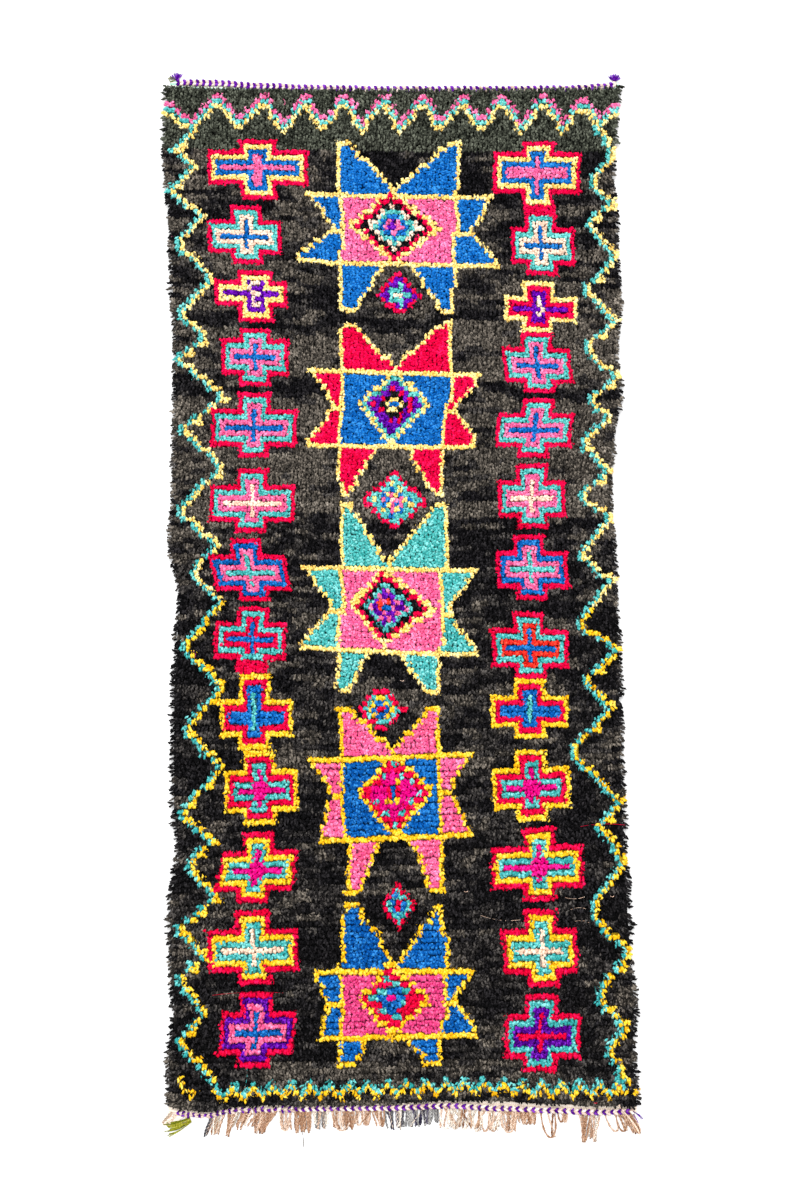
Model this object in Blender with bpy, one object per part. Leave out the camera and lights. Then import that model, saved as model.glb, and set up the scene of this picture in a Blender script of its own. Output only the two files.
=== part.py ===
"""Boucherouite rug lying flat with its pile up: one lumpy knotted field, twined ends, warp fringe, tufts.

Units are metres. +X is the rug's right, +Y its head end, +Z up. The origin is the centre of the underside.
"""

import math
from collections import namedtuple

import bmesh
import bpy
from mathutils import Vector, noise

# Pile field: a grid of lumps, with one more ring of points around it for the locks
FIELD_COLUMNS = 34
FIELD_ROWS = 66
PILE_THICKNESS = 0.0220
PILE_AT_RIM = 0.0165
LUMP_HEIGHT = 0.0044
LUMP_LENGTH = 0.085
LUMP_WIDTH = 0.105

# Lumps are long low swells with short ripples on them: the share of each, and how fine the ripples are
SWELL_SHARE = 0.9
RIPPLE_SHARE = 0.6
RIPPLES_ACROSS = 2.3
RIPPLES_ALONG = 3.1
SWELL_LAYER = 3.1
RIPPLE_LAYER = 8.7

# Locks on the rim: they lean down the rug and are longest at the sides
LOCKS_PER_ROW = 1
LOCKS_PER_COLUMN = 1
SIDE_LOCK_LENGTH = 0.014
TAIL_LOCK_LENGTH = 0.008
HEAD_SHOULDER = 0.006
LOCK_LEAN = 0.006
LOCK_TIP_HEIGHT = 0.0055
LOCK_ROOT_HEIGHT = 0.0110

# Reach of the locks and of the hollows between them, as shares of a lock, and how much they vary
TIP_REACH = 0.80
TIP_VARIATION = 0.20
HOLLOW_REACH = 0.30
HOLLOW_VARIATION = 0.15
TAIL_LOCKS = 7.0
CORNER_SHARE = 0.02

# Repeatable unevenness of locks and strands: where the noise is read, and how much it is raised
NOISE_PITCH = (0.73, 5.17)
NOISE_START = (0.31, 0.19, 0.47)
NOISE_GAIN = 2.4

# Clearance that parts two pieces which touch in the real rug, and how far the pile's rim keeps inside
GAP = 0.0003
RIM_INSET = 0.0008

# Twined rows: pairs of yarns that cross in chevrons, one at each end of the rug
HEAD_STITCHES = 84
TAIL_STITCHES = 78
HEAD_TWINE_START = -0.580
HEAD_TWINE_END = 0.566
TAIL_TWINE_START = -0.582
TAIL_TWINE_END = 0.606
TWINE_THICKNESS = 0.0055
TWINE_GROOVE = 0.0022
TWINE_SHOULDER = 0.0022
STITCH_LEAD = 0.8
TAIL_TWINE_WIDTH = 0.0100

# Warp ends: a narrow woven band with the loose strands below it
BAND_THICKNESS = 0.0035
BAND_START = -0.608
BAND_END = 0.617
STRAND_WIDTH = 0.0046
STRAND_TIP_SHARE = 0.55
STRAND_SECTIONS = 4
STRAND_SWAY = 0.0022
STRAND_UNEVENNESS = 0.009
STRAND_GAP = 0.0008
STRAND_PROBES = 16

# Corner tufts: room between roots, how the head narrows behind, and how the lengths vary
ROOT_SPACING = 1.25
HEAD_TAPER = 0.8
FAN_VARIATION = 0.25

# Two places nearer than this are the same
CLOSE = 0.00001

Side = namedtuple("Side", "y left right")
SIDES = (
    Side(1.360, -0.616, 0.572),
    Side(1.225, -0.621, 0.564),
    Side(1.134, -0.619, 0.556),
    Side(0.991, -0.606, 0.567),
    Side(0.809, -0.601, 0.575),
    Side(0.692, -0.593, 0.564),
    Side(0.588, -0.595, 0.577),
    Side(0.445, -0.595, 0.556),
    Side(0.315, -0.598, 0.551),
    Side(0.172, -0.606, 0.559),
    Side(0.029, -0.582, 0.564),
    Side(-0.101, -0.590, 0.575),
    Side(-0.231, -0.598, 0.575),
    Side(-0.374, -0.598, 0.577),
    Side(-0.491, -0.598, 0.582),
    Side(-0.608, -0.585, 0.585),
    Side(-0.751, -0.608, 0.595),
    Side(-0.907, -0.606, 0.603),
    Side(-1.037, -0.598, 0.614),
    Side(-1.167, -0.611, 0.611),
    Side(-1.290, -0.611, 0.621),
)

Head = namedtuple("Head", "x pile twine")
HEAD = (
    Head(-0.616, 1.364, 1.381),
    Head(-0.575, 1.362, 1.383),
    Head(-0.484, 1.358, 1.381),
    Head(-0.367, 1.357, 1.374),
    Head(-0.237, 1.356, 1.369),
    Head(-0.055, 1.355, 1.365),
    Head(0.257, 1.355, 1.365),
    Head(0.439, 1.357, 1.367),
    Head(0.517, 1.359, 1.371),
    Head(0.572, 1.360, 1.379),
)

Tail = namedtuple("Tail", "x pile band")
TAIL = (
    Tail(-0.611, -1.290, -1.308),
    Tail(-0.549, -1.300, -1.316),
    Tail(-0.504, -1.305, -1.318),
    Tail(-0.445, -1.291, -1.305),
    Tail(-0.341, -1.286, -1.303),
    Tail(-0.185, -1.287, -1.299),
    Tail(-0.029, -1.282, -1.298),
    Tail(0.127, -1.273, -1.293),
    Tail(0.257, -1.275, -1.300),
    Tail(0.387, -1.283, -1.305),
    Tail(0.517, -1.287, -1.310),
    Tail(0.621, -1.290, -1.306),
)

# Groups of warp ends: where their roots stand, how many there are, and where their tips lie
Clump = namedtuple("Clump", "left right count tip_left tip_right tip_y")
CLUMPS = (
    Clump(-0.603, -0.588, 3, -0.626, -0.606, -1.342),
    Clump(-0.497, -0.462, 5, -0.516, -0.490, -1.368),
    Clump(-0.447, -0.436, 2, -0.457, -0.449, -1.367),
    Clump(-0.424, -0.366, 7, -0.438, -0.390, -1.348),
    Clump(-0.357, -0.333, 4, -0.376, -0.356, -1.360),
    Clump(-0.312, -0.288, 2, -0.317, -0.290, -1.353),
    Clump(-0.275, -0.236, 6, -0.266, -0.238, -1.362),
    Clump(-0.227, -0.190, 5, -0.222, -0.197, -1.350),
    Clump(-0.180, -0.130, 7, -0.174, -0.131, -1.354),
    Clump(-0.120, -0.080, 5, -0.118, -0.084, -1.337),
    Clump(-0.071, -0.048, 3, -0.064, -0.046, -1.347),
    Clump(-0.036, -0.005, 5, -0.036, -0.009, -1.352),
    Clump(0.004, 0.092, 11, 0.002, 0.090, -1.341),
    Clump(0.102, 0.178, 9, 0.110, 0.176, -1.351),
    Clump(0.188, 0.254, 8, 0.190, 0.248, -1.358),
    Clump(0.264, 0.300, 5, 0.268, 0.294, -1.358),
    Clump(0.310, 0.346, 5, 0.312, 0.340, -1.338),
    Clump(0.370, 0.404, 3, 0.381, 0.405, -1.370),
    Clump(0.414, 0.430, 2, 0.419, 0.431, -1.330),
    Clump(0.470, 0.510, 5, 0.472, 0.506, -1.388),
    Clump(0.532, 0.562, 3, 0.556, 0.588, -1.354),
    Clump(0.572, 0.598, 4, 0.602, 0.622, -1.362),
)

# Tufts at the corners: the knotted ends of the edging yarns, each a head with strands that fan out
Tuft = namedtuple("Tuft", "name x y heading head_width head_depth thickness count length fan material")
TUFTS = (
    Tuft("head_left_tuft", -0.5840, 1.3905, 100, 0.016, 0.006, 0.0070, 4, 0.013, 70, "violet_yarn"),
    Tuft("head_right_tuft", 0.5560, 1.3860, 90, 0.015, 0.006, 0.0070, 4, 0.014, 64, "violet_yarn"),
    Tuft("tail_left_tuft", -0.5300, -1.3275, 196, 0.013, 0.007, 0.0050, 4, 0.045, 17, "green_yarn"),
    Tuft("tail_right_tuft", 0.6120, -1.3140, 306, 0.009, 0.004, 0.0040, 2, 0.026, 12, "violet_yarn"),
)

# Dye of each material, as linear RGB, with its roughness
Dye = namedtuple("Dye", "red green blue roughness")
DYES = {
    "pile_yarn": Dye(0.028, 0.027, 0.022, 0.95),
    "twined_yarn": Dye(0.330, 0.140, 0.440, 0.85),
    "warp_yarn": Dye(0.560, 0.400, 0.290, 0.90),
    "violet_yarn": Dye(0.120, 0.010, 0.300, 0.85),
    "green_yarn": Dye(0.230, 0.300, 0.060, 0.88),
}


def clear_scene():
    """Remove every object, so the script gives the same scene each time."""
    for item in list(bpy.data.objects):
        bpy.data.objects.remove(item, do_unlink=True)


def make_material(name):
    """Make the Principled material of one yarn."""
    dye = DYES[name]
    material = bpy.data.materials.new(name)
    material.use_nodes = True
    shader = material.node_tree.nodes["Principled BSDF"]
    shader.inputs["Base Color"].default_value = (dye.red, dye.green, dye.blue, 1.0)
    shader.inputs["Roughness"].default_value = dye.roughness
    shader.inputs["Metallic"].default_value = 0.0
    return material


def finish_object(name, mesh_builder, material_name):
    """Turn a bmesh into one named object with faces out and its own material."""
    bmesh.ops.triangulate(mesh_builder, faces=mesh_builder.faces)
    bmesh.ops.recalc_face_normals(mesh_builder, faces=mesh_builder.faces)
    mesh = bpy.data.meshes.new(name)
    mesh_builder.to_mesh(mesh)
    mesh_builder.free()
    item = bpy.data.objects.new(name, mesh)
    bpy.context.collection.objects.link(item)
    mesh.materials.append(make_material(material_name))
    return item


def read_table(table, key, column, at):
    """Read one column of a table at a place between its rows, easing from row to row."""
    rows = sorted(table, key=lambda row: getattr(row, key))
    if at <= getattr(rows[0], key):
        return getattr(rows[0], column)
    for low, high in zip(rows, rows[1:]):
        if at <= getattr(high, key):
            share = (at - getattr(low, key)) / (getattr(high, key) - getattr(low, key))
            share = share * share * (3.0 - 2.0 * share)
            return getattr(low, column) + share * (getattr(high, column) - getattr(low, column))
    return getattr(rows[-1], column)


def uneven(index, strand):
    """A repeatable number from -1 to 1 for one lock or strand."""
    across = index * NOISE_PITCH[0] + NOISE_START[0]
    along = strand * NOISE_PITCH[1] + NOISE_START[1]
    return max(-1.0, min(1.0, NOISE_GAIN * noise.noise(Vector((across, along, NOISE_START[2])))))


def lump(x, y):
    """Height of the pile's lumps at a place, from long low swells and short ones."""
    across, along = x / LUMP_WIDTH, y / LUMP_LENGTH
    swell = noise.noise(Vector((across, along, SWELL_LAYER)))
    ripple = noise.noise(Vector((across * RIPPLES_ACROSS, along * RIPPLES_ALONG, RIPPLE_LAYER)))
    return LUMP_HEIGHT * (SWELL_SHARE * swell + RIPPLE_SHARE * ripple)


def field_place(across, along):
    """Place of the pile's body for shares of its width and length, inside the locks."""
    nominal = SIDES[-1].y + along * (SIDES[0].y - SIDES[-1].y)
    left = read_table(SIDES, "y", "left", nominal) + SIDE_LOCK_LENGTH
    right = read_table(SIDES, "y", "right", nominal) - SIDE_LOCK_LENGTH
    x = left + across * (right - left)
    low = read_table(TAIL, "x", "pile", x) + TAIL_LOCK_LENGTH + RIM_INSET
    high = read_table(HEAD, "x", "pile", x) - HEAD_SHOULDER - RIM_INSET
    return x, low + along * (high - low)


def lock_reach(number, side):
    """How far a rim point stands out, as a share of the lock: odd points are tips, even ones lie between."""
    if number % 2:
        return TIP_REACH + TIP_VARIATION * uneven(number, side)
    return HOLLOW_REACH + HOLLOW_VARIATION * uneven(number, side)


def rim_place(across, along):
    """Place of a rim point: tips and the hollows between them, by its count along its own side."""
    x, y = field_place(min(max(across, 0.0), 1.0), min(max(along, 0.0), 1.0))
    on_side = across < 0.0 or across > 1.0
    if on_side:
        outward = -1.0 if across < 0.0 else 1.0
        number = round(min(max(along, 0.0), 1.0) * FIELD_ROWS * LOCKS_PER_ROW * 2)
        reach = lock_reach(number, outward)
        x += outward * SIDE_LOCK_LENGTH * reach
        y -= LOCK_LEAN * reach if CORNER_SHARE < along < 1.0 - CORNER_SHARE else 0.0
    elif along < 0.0:
        number = round(across * FIELD_COLUMNS * LOCKS_PER_COLUMN * 2)
        reach = lock_reach(number, TAIL_LOCKS)
        y -= TAIL_LOCK_LENGTH * reach
    else:
        reach = HOLLOW_REACH
        y += HEAD_SHOULDER
    height = LOCK_ROOT_HEIGHT + (LOCK_TIP_HEIGHT - LOCK_ROOT_HEIGHT) * reach
    return Vector((x, y, height))


def make_pile_field():
    """The knotted field: a lumpy slab, flat underneath, with locks around its rim."""
    outside = 0.5 / FIELD_ROWS
    builder = bmesh.new()
    bmesh.ops.create_grid(builder, x_segments=FIELD_COLUMNS, y_segments=FIELD_ROWS, size=0.5)
    bmesh.ops.translate(builder, verts=builder.verts, vec=(0.5, 0.5, 0.0))
    border = [edge for edge in builder.edges if edge.is_boundary]
    ring = bmesh.ops.extrude_edge_only(builder, edges=border)["geom"]
    for point in (part for part in ring if isinstance(part, bmesh.types.BMVert)):
        for axis in (0, 1):
            if point.co[axis] < CLOSE:
                point.co[axis] = -outside
            elif point.co[axis] > 1.0 - CLOSE:
                point.co[axis] = 1.0 + outside
    rim = [edge for edge in builder.edges if edge.is_boundary]
    sides = [edge for edge in rim if all(abs(point.co.x - 0.5) > 0.5 for point in edge.verts)]
    tail = [edge for edge in rim if all(point.co.y < 0.0 for point in edge.verts)]
    bmesh.ops.subdivide_edges(builder, edges=sides, cuts=LOCKS_PER_ROW * 2 - 1)
    bmesh.ops.subdivide_edges(builder, edges=tail, cuts=LOCKS_PER_COLUMN * 2 - 1)
    for point in builder.verts:
        across, along = point.co.x, point.co.y
        if point.is_boundary:
            point.co = rim_place(across, along)
            continue
        x, y = field_place(across, along)
        edge_share = min(across, 1.0 - across, along * 2.0, (1.0 - along) * 2.0) * FIELD_COLUMNS
        thickness = PILE_THICKNESS if edge_share > 0.5 else PILE_AT_RIM
        point.co = Vector((x, y, thickness + lump(x, y)))
    rim = [edge for edge in builder.edges if edge.is_boundary]
    wall = bmesh.ops.extrude_edge_only(builder, edges=rim)["geom"]
    for point in (part for part in wall if isinstance(part, bmesh.types.BMVert)):
        point.co.z = 0.0
    under = [edge for edge in builder.edges if edge.is_boundary]
    bmesh.ops.contextual_create(builder, geom=under)
    return finish_object("pile_field", builder, "pile_yarn")


def make_twined_row(name, start, end, stitches, near_edge, far_edge, base):
    """A row of twining: V stitches raised along a strip between two edges, flat underneath.

    near_edge and far_edge give the strip's two long edges as y for an x.
    """
    columns = 2 * stitches
    step = (end - start) / columns
    builder = bmesh.new()
    bmesh.ops.create_grid(builder, x_segments=columns, y_segments=2, size=0.5)
    for point in builder.verts:
        column = round((point.co.x + 0.5) * columns)
        across = point.co.y + 0.5
        middle = 0.25 < across < 0.75
        inner = 0 < column < columns
        x = start + step * (column + (STITCH_LEAD if middle and inner else 0.0))
        y = near_edge(x) + across * (far_edge(x) - near_edge(x))
        groove = TWINE_GROOVE if column % 2 == 0 else 0.0
        shoulder = 0.0 if middle else TWINE_SHOULDER
        point.co = Vector((x, y, base + TWINE_THICKNESS - groove - shoulder))
    border = [edge for edge in builder.edges if edge.is_boundary]
    wall = bmesh.ops.extrude_edge_only(builder, edges=border)["geom"]
    for point in (part for part in wall if isinstance(part, bmesh.types.BMVert)):
        point.co.z = base
    under = [edge for edge in builder.edges if edge.is_boundary]
    bmesh.ops.contextual_create(builder, geom=under)
    return finish_object(name, builder, "twined_yarn")


def head_twine_near(x):
    """The head twining's edge beside the pile."""
    return read_table(HEAD, "x", "pile", x) + GAP


def head_twine_far(x):
    """The head twining's outer edge."""
    return read_table(HEAD, "x", "twine", x)


def tail_twine_near(x):
    """The tail twining's edge towards the pile, on top of the woven band."""
    return tail_twine_far(x) + TAIL_TWINE_WIDTH


def tail_twine_far(x):
    """The tail twining's edge towards the fringe, just inside the woven band's own edge."""
    return read_table(TAIL, "x", "band", x) + GAP


def add_strand(builder, root, centres, root_width, root_height):
    """Loft one four-sided strand from the four points of its root face, along its centres to a small end.

    root holds the lower and upper point at the strand's first side, then the upper and lower at the other.
    """
    ring = root
    for section in range(1, STRAND_SECTIONS + 1):
        size = 1.0 + (STRAND_TIP_SHARE - 1.0) * section / STRAND_SECTIONS
        ahead = centres[min(section + 1, STRAND_SECTIONS)] - centres[section - 1]
        side = Vector((-ahead.y, ahead.x)).normalized() * root_width * size / 2
        if (root[3].co - root[0].co).xy.dot(side) < 0.0:
            side.negate()
        low, high = centres[section] - side, centres[section] + side
        height = root_height * size
        corners = (
            Vector((low.x, low.y, 0.0)),
            Vector((low.x, low.y, height)),
            Vector((high.x, high.y, height)),
            Vector((high.x, high.y, 0.0)),
        )
        following = [builder.verts.new(corner) for corner in corners]
        for here in range(4):
            beyond = (here + 1) % 4
            builder.faces.new((ring[here], ring[beyond], following[beyond], following[here]))
        ring = following
    builder.faces.new(ring)


def make_fringed_strip(name, back, front, root_cells, root_width, thickness, material_name):
    """A narrow strip with strands on its front edge, all one solid that lies on the floor.

    back and front are lists of places along the strip's two edges. root_cells maps the number of a cell,
    between two neighbouring places, to the centres of the strand that grows from it.
    """
    builder = bmesh.new()
    columns = []
    for behind, ahead in zip(back, front):
        columns.append(
            [
                builder.verts.new((behind.x, behind.y, 0.0)),
                builder.verts.new((behind.x, behind.y, thickness)),
                builder.verts.new((ahead.x, ahead.y, thickness)),
                builder.verts.new((ahead.x, ahead.y, 0.0)),
            ]
        )
    builder.faces.new(columns[0])
    builder.faces.new(reversed(columns[-1]))
    for cell, (first, second) in enumerate(zip(columns, columns[1:])):
        for corner in (0, 1, 3):
            beyond = (corner + 1) % 4
            builder.faces.new((first[corner], second[corner], second[beyond], first[beyond]))
        if cell in root_cells:
            root = (first[3], first[2], second[2], second[3])
            add_strand(builder, root, root_cells[cell], root_width, thickness)
        else:
            builder.faces.new((first[2], second[2], second[3], first[3]))
    return finish_object(name, builder, material_name)


def spread(first, last, number, count):
    """Even places from first to last."""
    return first + (last - first) * number / max(1, count - 1)


def place_at_depth(centres, y):
    """x of a warp strand where it passes a y, between its section centres."""
    for above, below in zip(centres, centres[1:]):
        if below.y <= y:
            return above.x + (below.x - above.x) * (above.y - y) / (above.y - below.y)
    return centres[-1].x


def part_strands(before, after):
    """Turn a strand to the right about its root until it stays clear of the one on its left."""
    top = min(before[0].y, after[0].y)
    bottom = max(before[-1].y, after[-1].y)
    lean = max(abs(strand[-1].x - strand[0].x) / (strand[0].y - strand[-1].y) for strand in (before, after))
    least = STRAND_WIDTH * math.hypot(1.0, lean) + STRAND_GAP
    turn = 0.0
    for probe in range(1, STRAND_PROBES + 1):
        y = top + (bottom - top) * probe / STRAND_PROBES
        room = place_at_depth(after, y) - place_at_depth(before, y)
        share = (after[0].y - y) / (after[0].y - after[-1].y)
        turn = max(turn, (least - room) / share)
    for section, centre in enumerate(after):
        centre.x += turn * section / STRAND_SECTIONS


def warp_strands():
    """Section centres of every warp strand, from left to right, kept apart from each other."""
    strands = []
    for group, clump in enumerate(CLUMPS):
        for number in range(clump.count):
            root_x = spread(clump.left, clump.right, number, clump.count)
            tip_x = spread(clump.tip_left, clump.tip_right, number, clump.count)
            root_y = read_table(TAIL, "x", "band", root_x)
            tip_y = clump.tip_y + STRAND_UNEVENNESS * (1.0 + uneven(number, group))
            centres = []
            for section in range(STRAND_SECTIONS + 1):
                share = section / STRAND_SECTIONS
                sway = STRAND_SWAY * math.sin(math.pi * share) * uneven(number * 3 + 1, group)
                x = root_x + (tip_x - root_x) * share + sway
                centres.append(Vector((x, root_y + (tip_y - root_y) * share)))
            strands.append(centres)
    for before, after in zip(strands, strands[1:]):
        part_strands(before, after)
    return strands


def make_warp_fringe():
    """The woven band below the pile with the warp ends that hang from it."""
    strands = warp_strands()
    xs = [BAND_START]
    root_cells = {}
    for centres in strands:
        root_cells[len(xs)] = centres
        xs.append(centres[0].x - STRAND_WIDTH / 2)
        xs.append(centres[0].x + STRAND_WIDTH / 2)
    xs.append(BAND_END)
    back = [Vector((x, read_table(TAIL, "x", "pile", x) - GAP)) for x in xs]
    front = [Vector((x, read_table(TAIL, "x", "band", x))) for x in xs]
    return make_fringed_strip(
        "warp_fringe",
        back,
        front,
        root_cells,
        STRAND_WIDTH,
        BAND_THICKNESS,
        "warp_yarn",
    )


def make_tuft(tuft):
    """One corner tuft: a small flat head with strands that fan out along its heading."""
    heading = math.radians(tuft.heading)
    ahead = Vector((math.cos(heading), math.sin(heading)))
    side = Vector((ahead.y, -ahead.x))
    origin = Vector((tuft.x, tuft.y))
    root_width = tuft.head_width / (ROOT_SPACING * tuft.count)
    offsets = []
    root_cells = {}
    for number in range(tuft.count):
        middle = tuft.head_width * ((number + 0.5) / tuft.count - 0.5)
        root_cells[len(offsets)] = fan_centres(tuft, number, origin + side * middle, ahead, side)
        offsets.append(middle - root_width / 2)
        offsets.append(middle + root_width / 2)
    back = [origin - ahead * tuft.head_depth + side * offset * HEAD_TAPER for offset in offsets]
    front = [origin + side * offset for offset in offsets]
    return make_fringed_strip(
        tuft.name,
        back,
        front,
        root_cells,
        root_width,
        tuft.thickness,
        tuft.material,
    )


def fan_centres(tuft, number, root, ahead, side):
    """Centres of one strand of a tuft, turned away from the tuft's heading by its place in the fan."""
    turn = math.radians(spread(-tuft.fan / 2, tuft.fan / 2, number, tuft.count))
    way = ahead * math.cos(turn) + side * math.sin(turn)
    length = tuft.length * (1.0 + FAN_VARIATION * uneven(number, tuft.count + tuft.x))
    return [root + way * length * section / STRAND_SECTIONS for section in range(STRAND_SECTIONS + 1)]


def main():
    """Build every piece of the rug."""
    clear_scene()
    make_pile_field()
    make_twined_row(
        "head_twining",
        HEAD_TWINE_START,
        HEAD_TWINE_END,
        HEAD_STITCHES,
        head_twine_near,
        head_twine_far,
        0.0,
    )
    make_twined_row(
        "tail_twining",
        TAIL_TWINE_START,
        TAIL_TWINE_END,
        TAIL_STITCHES,
        tail_twine_far,
        tail_twine_near,
        BAND_THICKNESS + GAP,
    )
    make_warp_fringe()
    for tuft in TUFTS:
        make_tuft(tuft)


main()
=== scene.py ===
"""Boucherouite rug lying flat with its pile up, dressed knot by knot.

Units are metres. +X is the rug's right, +Y its head end and +Z up. The origin is the centre of the underside.
Places on the chart are counted in knots: columns from the left edge, rows from the head end.
"""

import logging
import math
from collections.abc import Callable, Sequence
from dataclasses import dataclass
from enum import Enum, IntEnum
from functools import cache

import bmesh
import bpy
import numpy as np
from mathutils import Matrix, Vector, noise


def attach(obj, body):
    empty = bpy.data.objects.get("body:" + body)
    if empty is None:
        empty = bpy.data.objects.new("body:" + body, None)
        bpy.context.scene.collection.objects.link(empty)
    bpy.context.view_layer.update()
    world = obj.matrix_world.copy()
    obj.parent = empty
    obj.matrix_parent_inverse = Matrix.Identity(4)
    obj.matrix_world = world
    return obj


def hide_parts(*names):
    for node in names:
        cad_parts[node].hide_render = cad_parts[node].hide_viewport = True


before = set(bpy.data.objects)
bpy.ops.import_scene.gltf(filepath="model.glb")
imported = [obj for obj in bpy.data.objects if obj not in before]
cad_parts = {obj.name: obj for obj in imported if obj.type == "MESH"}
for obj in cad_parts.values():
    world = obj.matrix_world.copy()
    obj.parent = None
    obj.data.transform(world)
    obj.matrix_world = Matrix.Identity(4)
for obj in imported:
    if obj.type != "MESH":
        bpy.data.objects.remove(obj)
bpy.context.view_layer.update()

log = logging.getLogger("boucherouite_rug")

Colour = tuple[float, float, float, float]
Place = tuple[float, float]
Spot = tuple[float, float, float]
Socket = bpy.types.NodeSocket

BODY = "root"
SEED = 1947


@dataclass(frozen=True)
class Edge:
    """An edge of the rug, eased from point to point as the outline of the solids is."""

    keys: tuple[float, ...]
    values: tuple[float, ...]
    shift: float = 0.0

    def __call__(self, at: np.ndarray | float) -> np.ndarray:
        """Read the edge.

        Args:
            at: Places along it.

        Returns:
            How far out it is there.
        """
        keys, values = np.asarray(self.keys), np.asarray(self.values)
        at = np.clip(at, keys[0], keys[-1])
        low = np.clip(np.searchsorted(keys, at, side="right") - 1, 0, len(keys) - 2)
        share = (at - keys[low]) / (keys[low + 1] - keys[low])
        share = share * share * (3.0 - 2.0 * share)
        return values[low] + share * (values[low + 1] - values[low]) + self.shift

    def moved(self, shift: float) -> "Edge":
        """Give the same edge moved along its axis."""
        return Edge(self.keys, self.values, shift)


# Tips of the pile at both sides for a y
SIDE_Y = (-1.290, -1.167, -1.037, -0.907, -0.751, -0.608, -0.491, -0.374, -0.231, -0.101, 0.029,
          0.172, 0.315, 0.445, 0.588, 0.692, 0.809, 0.991, 1.134, 1.225, 1.360)
LEFT_EDGE = Edge(SIDE_Y, (
    -0.611, -0.611, -0.598, -0.606, -0.608, -0.585, -0.598, -0.598, -0.598, -0.590, -0.582,
    -0.606, -0.598, -0.595, -0.595, -0.593, -0.601, -0.606, -0.619, -0.621, -0.616))
RIGHT_EDGE = Edge(SIDE_Y, (
    0.621, 0.611, 0.614, 0.603, 0.595, 0.585, 0.582, 0.577, 0.575, 0.575, 0.564,
    0.559, 0.551, 0.556, 0.577, 0.564, 0.575, 0.567, 0.556, 0.564, 0.572))

# The two ends for an x: where the pile stops, and the outer edge of the twining or of the woven band
HEAD_X = (-0.616, -0.575, -0.484, -0.367, -0.237, -0.055, 0.257, 0.439, 0.517, 0.572)
HEAD_LINE = Edge(HEAD_X, (1.364, 1.362, 1.358, 1.357, 1.356, 1.355, 1.355, 1.357, 1.359, 1.360))
HEAD_CORD_LINE = Edge(HEAD_X, (1.381, 1.383, 1.381, 1.374, 1.369, 1.365, 1.365, 1.367, 1.371, 1.379))
TAIL_X = (-0.611, -0.549, -0.504, -0.445, -0.341, -0.185, -0.029, 0.127, 0.257, 0.387, 0.517, 0.621)
TAIL_LINE = Edge(TAIL_X, (
    -1.290, -1.300, -1.305, -1.291, -1.286, -1.287, -1.282, -1.273, -1.275, -1.283, -1.287, -1.290))
BAND_LINE = Edge(TAIL_X, (
    -1.308, -1.316, -1.318, -1.305, -1.303, -1.299, -1.298, -1.293, -1.300, -1.305, -1.310, -1.306))
TAB_LINE = Edge((-1.0, 1.0), (-1.340, -1.340))


class Lot(IntEnum):
    """Dye lots of the pile yarn. The first five are the dark ground."""

    BLACK, SLATE, BARK, ASH, BOTTLE_GREEN, SCARLET, STRAW, GOLD = range(8)
    TURQUOISE, BLUE, PINK, ROSE, MAGENTA, VIOLET, CREAM, EMBER = range(8, 16)


class Lay(Enum):
    """Which way the chevrons of a twined cord point."""

    RIGHT = 1.0
    LEFT = -1.0


def dye(*values: float) -> Colour:
    """Turn a colour's display values into linear RGBA.

    Args:
        values: Red, green and blue, from 0 to 255.

    Returns:
        The colour as a shader socket takes it.
    """
    shares = [value / 255.0 for value in values]
    linear = [share / 12.92 if share <= 0.04045 else ((share + 0.055) / 1.055) ** 2.4 for share in shares]
    return (*linear, 1.0)


# Finishes


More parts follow.
